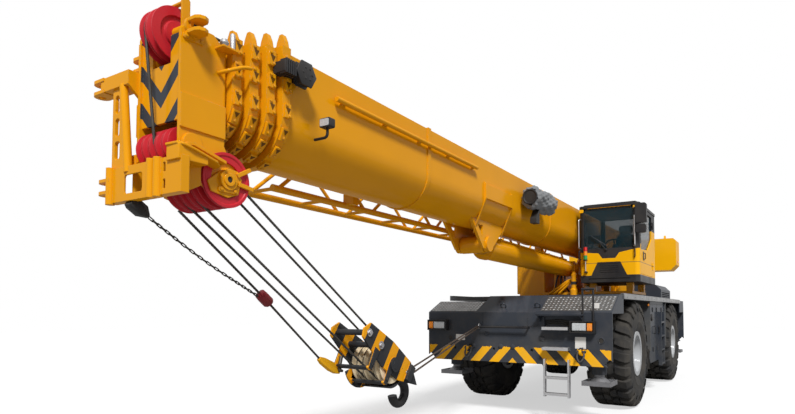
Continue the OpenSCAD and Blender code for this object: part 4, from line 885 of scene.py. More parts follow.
bm = bmesh.new()
slab(bm, off_panel(SHELF_LIP), "Y", 0.454, 1.165)
for y in (0.47, 1.135):
    slab(bm, off_panel(GUSSET), "Y", y, y + 0.014)
for y, z in CAPS:
    turned(bm, [(0.042, 0), (0.042, 0.008), (0.030, 0.016), (0.0, 0.018)], (PANEL_FACE, y, z), ALONG, 20)
for y in (-0.534, 0.261, 0.436):
    box(bm, (PANEL_FACE, y - SEAM_HALF, 1.44), (SEAM_OUT, y + SEAM_HALF, 1.655))
box(bm, (PANEL_FACE, -0.534, 1.44 - SEAM_HALF), (SEAM_OUT, 0.436, 1.44 + SEAM_HALF))
for y, z in SOCKETS:
    ring_of(bm, [(0.050, 0), (0.050, 0.006), (0.036, 0.010), (0.036, 0)], (PANEL_FACE, y, z), ALONG, 24)
for y in (0.392, -0.2):
    foot = SLOPE_LOW + slope_run * 0.14 + ACROSS * y + slope_up * EYE_R
    angles = [math.radians(-60 + 300 * k / 16) for k in range(17)]
    tube(bm, [foot + (slope_up * math.sin(a) + ACROSS * math.cos(a)) * EYE_R for a in angles], EYE_WIRE, 10)
piece("front_fittings", bm, slate_paint, "carrier", bevel=0.002)
print("caps on the panel:", len(CAPS))

# %% [markdown]
# Flat things on the panel still get a thickness of a few millimetres, so that they throw a
# thin shadow. Openings are dark faces set into their rims: painted shade for the shadowed
# inside of a socket or of the panel's opening.

# %% Bare label plates and painted shade in openings
LABELS = ((-1.037, -0.863, 1.190, 1.287), (1.024, 1.190, 1.112, 1.287))
bm = bmesh.new()
for label in LABELS:
    slab(bm, rounded_box(*label, 0.008), "X", PANEL_FACE + 0.0003, PANEL_FACE + 0.002)
slab(bm, rounded_box(1.30, 1.38, 1.72, 1.80, 0.006), "X", PANEL_FACE - 0.060, PANEL_FACE - 0.055)
piece("bare_label_plates", bm, blank_label, "carrier")

# Painted shade: dark discs fill the sockets, and a dark box fills the panel's opening.
bm = bmesh.new()
for y, z in SOCKETS:
    turned(bm, [(0.036, 0), (0.036, 0.003), (0.0, 0.003)], (PANEL_FACE, y, z), ALONG, 24)
box(bm, (PANEL_FACE - 0.10, 0.545, 1.44), (PANEL_FACE - 0.034, 0.945, 1.585))
piece("painted_shade_openings", bm, black_rubber, "carrier")
print("bare plates:", len(LABELS) + 1)

# %% [markdown]
# Tow shackles hang in the two lugs: a bow bent from round bar with a pin through its eyes.
# Behind the panel's opening three hoses cross, each a little higher than the one before.

# %% Tow shackles and front hoses
SHACKLE_Y, SHACKLE_HALF, SHACKLE_BAR = (-0.76, 1.13), 0.045, 0.014
PIN_HALF, PIN_R = 0.075, 0.0155
bm = bmesh.new()
for y in SHACKLE_Y:
    pin = Vector((PANEL_FACE + 0.06, y, 1.07))
    right, left = pin - ACROSS * SHACKLE_HALF, pin + ACROSS * SHACKLE_HALF
    low_right, low_left = right + Vector((0.04, -0.012, -0.08)), left + Vector((0.04, 0.012, -0.08))
    bow = [right, low_right, pin + Vector((0.085, 0, -0.17)), low_left, left]
    tube(bm, eased(bow, 0.07), SHACKLE_BAR, 10)
    tube(bm, [pin - ACROSS * PIN_HALF, pin + ACROSS * PIN_HALF], PIN_R, 12)
    for s in (-1, 1):
        turned(bm, [(0.024, 0), (0.024, 0.016)], pin + ACROSS * (s * 0.062 - 0.008), ACROSS, 8)
piece("tow_shackles", bm, cast_iron, "carrier")

bm = bmesh.new()
for k in range(3):
    z = 1.47 + 0.028 * k
    route = [(-0.030, 0.55, z), (-0.016, 0.70 + 0.04 * k, z + 0.02), (-0.018, 0.93, z - 0.01)]
    tube(bm, eased([PANEL_FACE * ALONG + Vector(p) for p in route], 0.08), 0.012, 10)
piece("front_hoses", bm, black_rubber, "carrier")
print("shackles at y =", SHACKLE_Y)

# %% [markdown]
# ## The carrier's sides and tail
# Locker doors have hinges and handles, and the deck's edge is a bright folded channel. These
# are the pieces that show the side views' scale.

# %% Deck edge and locker fittings
DECK_TOP, DECK_Z, HALF_W, CHANNEL_T = 1.94, 1.87, 1.58, 0.016
LOCKER_Y, GRIP_OUT = 1.55, 0.035
CHANNEL = [
    (HALF_W, DECK_Z + 0.004), (HALF_W + CHANNEL_T, DECK_Z + 0.004),
    (HALF_W + CHANNEL_T, DECK_TOP + 0.024), (HALF_W - 0.045, DECK_TOP + 0.024),
    (HALF_W - 0.045, DECK_TOP + 0.019), (HALF_W + 0.001, DECK_TOP + 0.019),
]
bm = bmesh.new()
for s in (-1, 1):
    slab(bm, [(s * y, z) for y, z in CHANNEL], "X", -3.30, 3.30)
    for k in range(11):
        bolt(bm, (-3.1 + 0.62 * k, s * (HALF_W + CHANNEL_T), DECK_Z + 0.04), (0, s, 0), 0.022)
piece("deck_edge_channel", bm, tread_plate, "carrier", bevel=0.002)

bm = bmesh.new()
for s, seams in ((1, (-0.56, 0.04, 0.50)), (-1, (-0.30, 0.30))):
    for x in seams:
        for z in (0.86, 1.66):
            box(bm, (x + 0.02, s * LOCKER_Y - 0.004, z), (x + 0.05, s * LOCKER_Y + 0.014, z + 0.09))
        route = ((0, 1.22), (GRIP_OUT, 1.22), (GRIP_OUT, 1.36), (0, 1.36))
        grip = [(x - 0.11, s * (LOCKER_Y + out), z) for out, z in route]
        tube(bm, eased(grip, 0.02, 4), 0.008, 8)
filler_cap = [(0.07, 0), (0.07, 0.03), (0.055, 0.045), (0.0, 0.048)]
turned(bm, filler_cap, (0.78, LOCKER_Y, 1.55), ACROSS, 28)
piece("locker_fittings", bm, black_plastic, "carrier", bevel=0.0015)
print("deck edge at y =", HALF_W + CHANNEL_T)

# %% [markdown]
# The tail carries three round lamps on each side, red, amber and red, each in a rubber ring.
# Amber markers sit along the sides, so they go into the same bmesh as the amber lamps.

# %% Tail lamps and markers
TAIL_LAMP = [(0.046, 0), (0.046, 0.024), (0.034, 0.034), (0.0, 0.037)]
TAIL_RING = [(0.047, 0), (0.047, 0.026), (0.054, 0.026), (0.054, 0)]
red, amber, rings = bmesh.new(), bmesh.new(), bmesh.new()
for s in (-1, 1):
    for k, lamp in enumerate((red, amber, red)):
        at = (0.014 - PANEL_FACE, s * (1.22 + 0.11 * k), 1.59)
        turned(lamp, TAIL_LAMP, at, -ALONG, 28)
        ring_of(rings, TAIL_RING, at, -ALONG, 28)
    for x in (-1.02, 1.0):
        side_slab(amber, rounded_box(x - 0.05, x + 0.05, 1.775, 1.815, 0.012), s, LOCKER_Y, LOCKER_Y + 0.014)
piece("tail_lamps_red", red, red_lens, "carrier")
piece("marker_lamps_amber", amber, amber_lens, "carrier", bevel=0.002)
piece("tail_lamp_rings", rings, black_rubber, "carrier")
print("tail lamps at x =", round(0.014 - PANEL_FACE, 3))

# %% [markdown]
# Rubber flaps hang between wheels and lockers, bolted along their upper edge. Brake hoses go
# down from the frame to each axle in a loose bend, which leaves the axle room to move.

# %% Flaps and axle hoses
FLAP_HALF, FLAP_T, FLAP_LOW, FLAP_HIGH = 0.32, 0.012, 0.55, 0.93
HOSE_ROUTE = ((0.30, 0.405, 1.45), (0.34, 0.50, 1.28), (0.16, 0.60, 1.12), (0.06, 0.62, 1.08))
bm = bmesh.new()
for s in (-1, 1):
    middle = s * TRACK_HALF
    for x in (-0.985, 0.965):
        box(bm, (x, middle - FLAP_HALF, FLAP_LOW), (x + FLAP_T, middle + FLAP_HALF, FLAP_HIGH))
        for y in (-0.25, 0, 0.25):
            bolt(bm, (x + FLAP_T, middle + y, 0.885), ALONG, 0.02)
    for front in (-1, 1):
        line = [(front * (AXLE_X - back), s * y, z) for back, y, z in HOSE_ROUTE]
        tube(bm, eased(line, 0.12), 0.013, 8)
piece("flaps_and_axle_hoses", bm, black_rubber, "carrier")
print("carrier pieces so far:", len(made_pieces))

# %% [markdown]
# ## The cab
# The cab's shell comes from CAD. What makes it a workplace is small: bent grab rails, a
# wiper, mirrors with real glass, a lamp tower that shows the load, and a lamp under the base.
# Rails are tubes along an eased line, so that their bends are round as a bender leaves them.

# %% Rails, wiper and lamp tower
CAB_FRONT, CAB_LEFT = 1.85, 1.56
RAIL_OUT, LOOP_OUT, RAIL_IN = 0.05, 0.045, -0.01
TOWER = Vector((CAB_FRONT + 0.052, 0.585, 0))
TOWER_R, TOWER_RIB = 0.034, 0.002
TOWER_LAMPS = (("green", green_lens, 2.659, 2.733), ("amber", amber_lens, 2.737, 2.812),
               ("red", red_lens, 2.816, 2.893))


def front_rail(y, sway, out, heights):
    top, top_bend, low_bend, low = heights
    ends = ((RAIL_IN, y, top), (out, y + sway, top_bend), (out, y + sway, low_bend), (RAIL_IN, y, low))
    return [CAB_FRONT * ALONG + Vector(p) for p in ends]


bright, dark = bmesh.new(), bmesh.new()
for y, sway in ((0.48, -0.02), (1.47, 0.02)):
    tube(bright, eased(front_rail(y, sway, RAIL_OUT, (3.44, 3.43, 2.88, 2.87)), 0.05), 0.012, 12)
    tube(dark, eased(front_rail(y, sway, LOOP_OUT, (2.84, 2.83, 2.68, 2.667)), 0.04), 0.011, 10)
tube(bright, [TOWER + UP * 2.43, TOWER + UP * 2.64], 0.011, 12)
box(dark, (CAB_FRONT - 0.004, 0.560, 2.405), (CAB_FRONT + 0.068, 0.610, 2.433))
for low, high in ((2.635, 2.655), (2.895, 2.905)):
    turned(dark, [(0.037, low), (0.037, high), (0.030, high + 0.004)], TOWER, UP, 24)
wiper_pivot, wiper_arm = Vector((CAB_FRONT + 0.004, 0.96, 2.83)), Vector((CAB_FRONT + 0.022, 0.83, 3.005))
turned(dark, [(0.022, 0), (0.022, 0.02), (0.012, 0.03)], wiper_pivot, ALONG, 16)
tube(dark, [wiper_pivot + ALONG * 0.018, wiper_arm], 0.007, 8)
tube(dark, [(CAB_FRONT + 0.014, 0.979, 2.90), (CAB_FRONT + 0.014, 0.681, 3.11)], 0.009, 6)
piece("cab_rails", bright, aluminium, "superstructure")
piece("cab_dark_fittings", dark, black_plastic, "superstructure", bevel=0.0015)
for name, finish, low, high in TOWER_LAMPS:
    bm = bmesh.new()
    ribs = [(TOWER_R + (TOWER_RIB if k % 2 else 0), low + (high - low) * k / 8) for k in range(9)]
    turned(bm, ribs, TOWER, UP, 24)
    piece("tower_lamp_" + name, bm, finish, "superstructure")
print("lamp tower at", tuple(round(v, 3) for v in TOWER))

# %% [markdown]
# The mirrors face back to the driver, so from the front only their housings show. The glass
# is still a piece of its own with rounded corners. Thin trim runs along the roof's edge, with
# a painted patch at each corner.

# %% Mirror glass, trim and roof corners
MIRRORS = ((1.527, 1.693, 3.297, 3.623), (1.537, 1.683, 3.117, 3.243))
ROOF_Z = 3.6401
PATCH_LOW, PATCH_HIGH = ROOF_Z - 0.075, ROOF_Z - 0.012
bm = bmesh.new()
for mirror in MIRRORS:
    slab(bm, rounded_box(*mirror, 0.02), "X", 1.8846, 1.8886)
piece("mirror_faces", bm, mirror_glass, "superstructure")

bm = bmesh.new()
box(bm, (CAB_FRONT - 0.002, 0.62, ROOF_Z - 0.010), (CAB_FRONT + 0.006, 1.42, ROOF_Z))
piece("gold_trim", bm, boom_paint, "superstructure")
bm = bmesh.new()
for y in (0.50, 1.50):
    patch = rounded_box(y - 0.042, y + 0.042, PATCH_LOW, PATCH_HIGH, 0.015)
    slab(bm, patch, "X", CAB_FRONT - 0.004, CAB_FRONT + 0.008)
slab(bm, rounded_box(1.60, 1.79, PATCH_LOW, PATCH_HIGH, 0.015), "Y", CAB_LEFT - 0.004, CAB_LEFT + 0.006)
piece("roof_corner_patches", bm, weight_paint, "superstructure", bevel=0.002)

bm = bmesh.new()
slab(bm, rounded_box(0.64, 1.38, 2.268, 2.298, 0.010), "X", CAB_FRONT - 0.075, CAB_FRONT - 0.03)
piece("base_lamp", bm, clear_lens, "superstructure", bevel=0.003)
print("mirrors:", len(MIRRORS), "roof at", ROOF_Z)

# %% [markdown]
# The door's handle is a bent bar in front of a plate, with a lock below it. It rides on the
# door's own body, so it swings with the door.

# %% Door furniture
HANDLE_X, HANDLE_OUT = 1.425, 0.03
bm = bmesh.new()
slab(bm, rounded_box(1.41, 1.51, 2.63, 2.80, 0.018), "Y", CAB_LEFT + 0.0005, CAB_LEFT + 0.004)
route = ((0, 2.66), (HANDLE_OUT, 2.66), (HANDLE_OUT, 2.77), (0, 2.77))
tube(bm, eased([(HANDLE_X, CAB_LEFT + out, z) for out, z in route], 0.015, 4), 0.008, 10)
turned(bm, [(0.014, 0), (0.014, 0.006), (0.0, 0.008)], (1.475, CAB_LEFT + 0.004, 2.665), ACROSS, 18)
piece("door_handle", bm, black_plastic, "cab_door", bevel=0.001)
print("door handle at x =", HANDLE_X)

# %% [markdown]
# ## The boom's collars
# Four collars guide the sections inside each other. Each carries slide pads that are held by
# bolts: three up each side and three round each lower corner. A thin brown triangle on each pad
# is painted shadow. Every collar is one step narrower and a little further out than the last,
# so one loop places them all by the rule that the CAD sections follow, and nothing has to be
# measured twice.

# %% Collar pads
BOOM_W, STEP, BOOM_FRONT, COLLAR_GAP, PAD_MID_Z = 0.72, 0.036, 9.4, 0.125, 3.2001
COLLAR_OUT, COLLAR_BACK, PAD_BOLT, PAD_RISE = 0.052, 0.04, 0.022, 0.022
SIDE_PADS, CORNER_TURNS = (0.015, 0.215, 0.385), (24, 46, 68)
PAD_OUTLINE = ((-0.03, -0.05), (0.03, -0.05), (0.03, 0.05), (-0.03, 0.05))
# Thin brown triangles on the pads are painted shadow, laid where each pad's shade falls.
PAD_PAINTED_SHADOW = ((-0.022, -0.036), (0.022, -0.036), (0, 0.004))
PAINTED_SHADOW_T = 0.0015
BOOM_BODIES = ["boom_base", "boom_2", "boom_3", "boom_4"]


def side_pads(nuts, painted_shadows, s, x, face):
    for rise in SIDE_PADS:
        z = PAD_MID_Z + rise
        for dz in (-0.040, 0.040):
            bolt(nuts, (x + dz * 0.4, s * face, z + dz), (0, s, 0), PAD_BOLT)
        painted_shadow = [(x - 0.024, z + 0.022), (x + 0.024, z + 0.022), (x, z - 0.026)]
        side_slab(painted_shadows, painted_shadow, s, face - 0.001, face + PAINTED_SHADOW_T)


def corner_pads(nuts, painted_shadows, s, x, round_r):
    for turn_deg in CORNER_TURNS:
        a = math.radians(turn_deg)
        out, down = Vector((0, s * math.cos(a), -math.sin(a))), Vector((0, -s * math.sin(a), -math.cos(a)))
        centre = Vector((x, 0, PAD_MID_Z)) + out * round_r

        def on_pad(dx, run, lift):
            return centre + ALONG * dx + down * run + out * lift

        loft(nuts, [[on_pad(dx, run, lift) for dx, run in PAD_OUTLINE] for lift in (-0.012, PAD_RISE)])
        bolt(nuts, on_pad(0, 0.028, PAD_RISE), out, PAD_BOLT)
        lifts = (PAD_RISE + 0.0005, PAD_RISE + 0.0005 + PAINTED_SHADOW_T)
        loft(painted_shadows, [[on_pad(dx, run, lift) for dx, run in PAD_PAINTED_SHADOW] for lift in lifts])


for k, body in enumerate(BOOM_BODIES):
    nuts, painted_shadows = bmesh.new(), bmesh.new()
    face, x = BOOM_W / 2 - STEP * k + COLLAR_OUT, BOOM_FRONT + COLLAR_GAP * k - COLLAR_BACK
    for s in (-1, 1):
        side_pads(nuts, painted_shadows, s, x, face)
        corner_pads(nuts, painted_shadows, s, x, face - PAD_RISE)
    for y in (-0.16, 0.16):
        bolt(nuts, (x, y, BOOM_TOP - STEP * k + 0.03), UP, 0.026)
    piece("collar_bolts_%d" % (k + 1), nuts, boom_paint, body, bevel=0.002)
    piece("collar_painted_shadows_%d" % (k + 1), painted_shadows, painted_shadow_paint, body)
print("collars dressed:", len(BOOM_BODIES))

# %% [markdown]
# ## The boom's head
# The head shows its axles' ends: a boss, a keeper plate and its two bolts. Rope guards stand
# out from the lower axle, and two ears, a bent bar and a small bracket sit beside the upper
# one. All are painted with the head, so they go into one piece.

# %% Head axles
HEAD_AXLES = ((10.06, 3.5901, 0.261), (9.79, 2.6101, 0.289))
BOSS = [(0.022, 0), (0.022, 0.010), (0.046, 0.010), (0.046, 0)]
KEEPER_HALF, KEEPER_IN, KEEPER_OUT = 0.078, 0.024, 0.010
GUARD_HALF, GUARD_T, GUARD_RUN = 0.015, 0.018, (0.09, 0.225)
EAR = [
    (10.02, 0.238), (10.02, 0.335), (10.035, 0.365), (10.07, 0.38),
    (10.105, 0.365), (10.12, 0.335), (10.12, 0.238),
]
BENT_BAR = [(9.86, 0.235, 3.36), (9.84, 0.30, 3.37), (9.74, 0.36, 3.42), (9.68, 0.37, 3.43)]
bm, dark = bmesh.new(), bmesh.new()
for x, z, out in HEAD_AXLES:
    for s in (-1, 1):
        ring_of(bm, BOSS, (x, s * out, z), (0, s, 0), 28)
        # A dark disc in each boss is painted shade for the axle's hole.
        turned(dark, [(0.022, 0), (0.022, 0.002), (0, 0.002)], (x, s * out, z), (0, s, 0), 20)
        keeper = rounded_box(x - KEEPER_HALF, x + KEEPER_HALF, z - 0.092, z - 0.056, 0.008)
        side_slab(bm, keeper, s, out - KEEPER_IN, out - KEEPER_OUT)
        for dx in (-0.055, 0.055):
            bolt(bm, (x + dx, s * (out - KEEPER_OUT), z - 0.074), (0, s, 0), 0.022)
hub = Vector((HOOK_AXLE.x, 0.262, HOOK_AXLE.z))
for turn_deg in (150, 188):
    a = math.radians(turn_deg)
    out, side = Vector((math.cos(a), 0, math.sin(a))), Vector((-math.sin(a), 0, math.cos(a))) * GUARD_HALF
    section = [side * u + ACROSS * lift for u, lift in ((-1, 0), (1, 0), (1, GUARD_T), (-1, GUARD_T))]
    loft(bm, [[hub + out * run + spot for spot in section] for run in GUARD_RUN])
for z in (3.530, 3.610):
    slab(bm, EAR, "Z", z, z + 0.024)
tube(bm, eased(BENT_BAR, 0.03), 0.014, 10)
box(bm, (9.76, 0.232, 3.522), (9.89, 0.33, 3.536))
piece("head_axle_ends", bm, head_paint, "boom_5", bevel=0.002)
print("head axles dressed:", len(HEAD_AXLES))

# %% [markdown]
# A shelf plate leans over the lower beam, with a web under it. In front of the lower sheaves'
# side plate runs one more sheave rim, and two small sensors stand on the bracket.

# %% Shelf plate, outer sheave rim and sensors
SHELF_BACK, SHELF_Z, SHELF_RISE, SHELF_T = 9.926, 2.674, 0.231, 0.016
SHELF = [
    (9.885, 0.235), (9.90, 0.33), (9.95, 0.372), (10.14, 0.388),
    (10.21, 0.38), (10.24, 0.35), (10.245, 0.235),
]
WEB = [(10.02, 2.65), (10.235, 2.65), (10.235, 2.75), (10.02, 2.70)]
RIM_R = 0.196
RIM = [
    (-0.07, 0.241), (0, 0.241), (0, 0.247), (-0.018, 0.252), (0, 0.257), (0, 0.263),
    (-0.020, 0.263), (-0.028, 0.256), (-0.07, 0.256),
]


def on_shelf(x, y, lift):
    return Vector((x, y, SHELF_Z + (x - SHELF_BACK) * SHELF_RISE + lift))


bm = bmesh.new()
loft(bm, [[on_shelf(x, y, lift) for x, y in SHELF] for lift in (0, SHELF_T)])
slab(bm, WEB, "Y", 0.235, 0.366)
piece("head_shelf_plate", bm, head_paint, "boom_5", bevel=0.003)
bm = bmesh.new()
ring_of(bm, [(RIM_R + deep, y) for deep, y in RIM], (HOOK_AXLE.x, 0, HOOK_AXLE.z), ACROSS, 64)
piece("outer_sheave_rim", bm, red_nylon, "boom_5")
SENSOR_POST = [(0.018, 0), (0.018, 0.11), (0.012, 0.12), (0.0, 0.12)]
SENSOR_BALL = [(0.0, -0.03), (0.02, -0.026), (0.032, 0), (0.02, 0.026), (0.0, 0.03)]
bm = bmesh.new()
turned(bm, SENSOR_POST, (9.79, 0.30, 3.535), UP, 20)
turned(bm, SENSOR_BALL, (9.86, 0.30, 3.560), UP, 20)
piece("head_sensors", bm, bare_steel, "boom_5", bevel=0.001)
# The dark discs in the axle bosses are painted shade.
piece("head_axle_hole_shade", dark, black_rubber, "boom_5")
print("outer sheave rim", round(2 * RIM_R, 3), "m across")

# %% [markdown]
# ## The hoist rope
# One rope runs from the winch over the boom's top to the head. When the boom telescopes, the
# rope between two collars must stretch, so each such length, and the tail from the winch, is
# baked in place and rides on no body. Real rope shows its lay: twelve corners, every second one
# pulled in, twisted along the line.

# %% Hoist rope over the boom
ROPE_R, ROPE_LAY, ROPE_SIDES, ROPE_STEP, LOBE = 0.011, 0.16, 12, 0.016, 0.90
ROPE_Y, TOP_SHEAVE, TOP_R = -0.0375, Vector((10.06, 0, 3.5901)), 0.168
ROPE_Z = TOP_SHEAVE.z + TOP_R
TAIL_X, DRUM_TOP, HEAD_X = -1.95, Vector((-2.76, ROPE_Y, 3.395)), TOP_SHEAVE.x - 0.25
LOW_END = (10.168, 0.0, 2.81)


def rope(name, points, body, blend=None, step=ROPE_STEP):
    bm = bmesh.new()
    tube(bm, spaced(points, step), ROPE_R, ROPE_SIDES, ROPE_LAY, LOBE)
    return piece(name, bm, rope_wire, body, smooth=60, blend=blend)


def top_run(start, end):
    return [(start, ROPE_Y, ROPE_Z), (end, ROPE_Y, ROPE_Z)]


tail_blend = ("superstructure", "boom_base", DRUM_TOP.x, TAIL_X)
rope("hoist_rope_tail", [DRUM_TOP, (TAIL_X, ROPE_Y, ROPE_Z)], None, tail_blend)
stops = [BOOM_FRONT + COLLAR_GAP * k for k in range(4)] + [HEAD_X]
rope("hoist_rope_base", top_run(TAIL_X, stops[0]), "boom_base", step=0.03)
chain = BOOM_BODIES + ["boom_5"]
for k, (start, end) in enumerate(zip(stops, stops[1:])):
    rope("hoist_rope_%d" % (k + 1), top_run(start, end), None, (chain[k], chain[k + 1], start, end), 0.008)
over = [(HEAD_X, ROPE_Y, ROPE_Z)]
for k in range(16):
    a = math.radians(6 * k)
    over.append((TOP_SHEAVE.x + TOP_R * math.sin(a), ROPE_Y, TOP_SHEAVE.z + TOP_R * math.cos(a)))
rope("hoist_rope_head", over + [LOW_END], "boom_5")
print("rope on the boom's top at z =", round(ROPE_Z, 3))

# %% [markdown]
# ## What hangs on the boom
# A cable reel for the load sensor sits beside the head end, with a finned box, and a work
# lamp stands on a bent bracket. The reel replaces the plainer CAD reel.

# %% Reel and work lamp
REEL, REEL_R, FLANGE_IN, WINDING_R = Vector((9.26, 0, 3.5201)), 0.108, 0.430, 0.092
REEL_PROFILE = [
    (0.055, 0.358), (0.055, 0.425), (REEL_R, FLANGE_IN), (REEL_R, 0.442), (WINDING_R, 0.446),
    (WINDING_R, 0.486), (REEL_R, 0.490), (REEL_R, 0.502), (0.070, 0.515), (0.0, 0.515),
]
bm = bmesh.new()
turned(bm, REEL_PROFILE, REEL, ACROSS, 6)
bolt_circle(bm, REEL + ACROSS * 0.512, ACROSS, 0.048, 6, 0.016)
for k in range(5):
    box(bm, (9.365 + 0.022 * k, 0.432, 3.462), (9.379 + 0.022 * k, 0.500, 3.572))
box(bm, (9.33, 0.362, 3.475), (9.47, 0.485, 3.560))
reel = piece("sensor_cable_reel", bm, black_plastic, "boom_base", bevel=0.003)
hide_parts("cable_reel")
bm = bmesh.new()
box(bm, (8.35, 0.13, BOOM_TOP), (8.80, 0.25, BOOM_TOP + 0.055))
tube(bm, eased([(9.02, 0.36, 3.09), (9.02, 0.50, 3.09), (9.02, 0.50, 3.165)], 0.04), 0.012, 10)
slab(bm, rounded_box(0.445, 0.555, 3.165, 3.24, 0.012), "X", 8.99, 9.055)
piece("boom_side_fittings", bm, black_plastic, "boom_base", bevel=0.0015)
bm = bmesh.new()
slab(bm, rounded_box(0.455, 0.545, 3.174, 3.231, 0.008), "X", 9.054, 9.062)
piece("boom_work_lamp", bm, clear_lens, "boom_base")
print("cable reel", round(2 * REEL_R, 3), "m across")

# %% [markdown]
# A lamp on the boom's side is wrapped in grey cloth for the road. Cloth pulled over a drum
# isn't round: its radius swells and dips between the ties, and that uneven outline says
# "cloth" more than any weave does. Three waves of different length, each drifting along the
# drum, make the folds. The cloth is one open tube, and the drum under it is a piece of its own.

# %% Wrapped lamp
WRAP, WRAP_LONG, WRAP_R, WRAP_TALL = Vector((3.80, 0.545, 3.38)), 0.86, 0.142, 1.1
WRAP_RINGS, WRAP_SIDES, TIES, TIE_RISE = 60, 72, 4, 0.012
FOLDS = ((0.009, 5, 9), (0.006, 11, -14), (0.005, 17, 31))
bm = bmesh.new()
rings = []
for k in range(WRAP_RINGS + 1):
    t = k / WRAP_RINGS
    tie = TIE_RISE * abs(math.sin(math.pi * TIES * t)) ** 0.5
    gathered = min(1, 0.55 + 6 * t, 0.80 + 5 * (1 - t))
    ring = []
    for a in full_turn(WRAP_SIDES):
        fold = sum(deep * math.sin(waves * a + drift * t) for deep, waves, drift in FOLDS)
        reach = (WRAP_R + tie + fold) * gathered
        ring.append(WRAP + Vector((WRAP_LONG * t, reach * math.cos(a), reach * WRAP_TALL * math.sin(a))))
    rings.append(ring)
loft(bm, rings, ends=False)
cover = piece("wrapped_lamp", bm, grey_wrap, "boom_base", smooth=60)

LAMP_RIM = [(0.118, 0), (0.118, 0.012), (0.100, 0.016), (0.090, 0.004), (0.0, 0.004)]
LAMP_DRUM = [
    (0.0, 0.006), (0.062, 0.006), (0.066, 0.03), (0.112, 0.10), (0.116, 0.14), (0.116, 0.78), (0.104, 0.863),
]
bm = bmesh.new()
turned(bm, LAMP_RIM, WRAP + ALONG * 0.862, ALONG, 32)
turned(bm, LAMP_DRUM, WRAP, ALONG, 32)
for x in (3.95, 4.40):
    box(bm, (x, 0.36, 3.30), (x + 0.10, 0.46, 3.46))
# The black wedge under the lamp is painted shadow, a dark sheet where the lamp's shadow falls.
slab(bm, [(4.42, 3.0), (4.56, 3.0), (4.56, 3.07), (4.42, 3.24)], "Y", 0.50, 0.60)
piece("wrapped_lamp_mount_and_shadow", bm, black_plastic, "boom_base", bevel=0.002)

# %% [markdown]
# ## The hook block
# The block hangs on four falls of rope that are tied back, so it is easiest to work along the
# falls: `on_falls` takes a length across them, a place to the side and a height above the
# block's axle, and gives the point on the crane. The ropes get their lay like the hoist rope.

# %% Falls of rope
fall_down = Vector((-math.sin(FALL_TURN), 0, -math.cos(FALL_TURN)))
fall_across = Vector((math.cos(FALL_TURN), 0, -math.sin(FALL_TURN)))
BLOCK_AXLE = HOOK_AXLE + fall_down * FALL
FALL_AT, FALL_Y = 0.171, 0.075


def on_falls(across_m, y, above):
    return BLOCK_AXLE + fall_across * across_m + ACROSS * y - fall_down * above


def falls_slab(bm, outline, y0, y1):
    loft(bm, [[on_falls(u, y, v) for u, v in outline] for y in (y0, y1)])


bm = bmesh.new()
for u in (-FALL_AT, FALL_AT):
    for y in (-FALL_Y, FALL_Y):
        line = spaced([on_falls(u, y, 0.0), on_falls(u, y, FALL)], ROPE_STEP)
        tube(bm, line, ROPE_R, ROPE_SIDES, ROPE_LAY, LOBE)
falls = piece("twisted_falls", bm, rope_wire, "hook", smooth=60)
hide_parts("hook_falls")
print("block axle at", tuple(round(v, 3) for v in BLOCK_AXLE))

# %% [markdown]
# Between the block's cheeks the sheaves are guarded: cross bars hold the rope in its grooves
# and a bent belly plate closes the underside. The belly is an arc with a thickness, so its
# outline runs out along one radius and back along a smaller one.

# %% Guards and pins of the block
CHEEK_OUT, GUARD_OUT, BAR_HALF = 0.211, 0.239, 0.03
BELLY_R, BELLY_T, BELLY_HALF, WING_R, WING_T = 0.244, 0.018, 0.188, 0.264, 0.014
AXLE_CAP = [(0.072, 0), (0.072, 0.016), (0.060, 0.022), (0.0, 0.022)]
PIN_SPOTS = ((-0.05, 0.30), (-0.05, 0.53), (-0.06, -0.28))


def arc(radius, degrees):
    angles = [math.radians(d) for d in degrees]
    return [(radius * math.cos(a), radius * math.sin(a)) for a in angles]


bm = bmesh.new()
for above in (0.33, 0.03):
    bar = rounded_box(0.215, 0.240, above - BAR_HALF, above + BAR_HALF, 0.010)
    falls_slab(bm, bar, -CHEEK_OUT, CHEEK_OUT)
    arm = [(0.02, above - 0.03), (GUARD_OUT, above - 0.026), (GUARD_OUT, above + 0.026), (0.02, above + 0.05)]
    for s in (-1, 1):
        falls_slab(bm, arm, *sorted((s * (CHEEK_OUT - 0.001), s * (CHEEK_OUT + 0.015))))
        bolt(bm, on_falls(0.19, s * (CHEEK_OUT + 0.015), above), (0, s, 0), 0.024)
belly_turn = range(-128, -23, 7)
belly = arc(BELLY_R, belly_turn) + arc(BELLY_R - BELLY_T, reversed(belly_turn))
falls_slab(bm, belly, -BELLY_HALF, BELLY_HALF)
wing = [(0.0, 0.0)] + arc(WING_R, range(-100, 50, 10))
falls_slab(bm, wing, -CHEEK_OUT - WING_T, -CHEEK_OUT + 0.001)
piece("block_guards", bm, hook_paint, "hook", bevel=0.002)

bm = bmesh.new()
for s in (-1, 1):
    side = (0, s, 0)
    turned(bm, AXLE_CAP, on_falls(0, s * CHEEK_OUT, 0), side, 32)
    bolt_circle(bm, on_falls(0, s * (CHEEK_OUT + 0.021), 0), side, 0.048, 6, 0.016)
    for u, above in PIN_SPOTS:
        at = on_falls(u, s * CHEEK_OUT, above)
        turned(bm, [(0.040, 0), (0.040, 0.008)], at, side, 24)
        turned(bm, [(0.026, 0.007), (0.026, 0.024)], at, side, 6)
piece("block_pins", bm, bare_steel, "hook", bevel=0.001)
print("pins on each cheek:", 1 + len(PIN_SPOTS))

# %% [markdown]
# ## Loose rigging at the block
# The rope's dead end comes down beside the falls to a wedge socket on the block. A socket is
# a loft again: one section, scaled at a few places along its length.

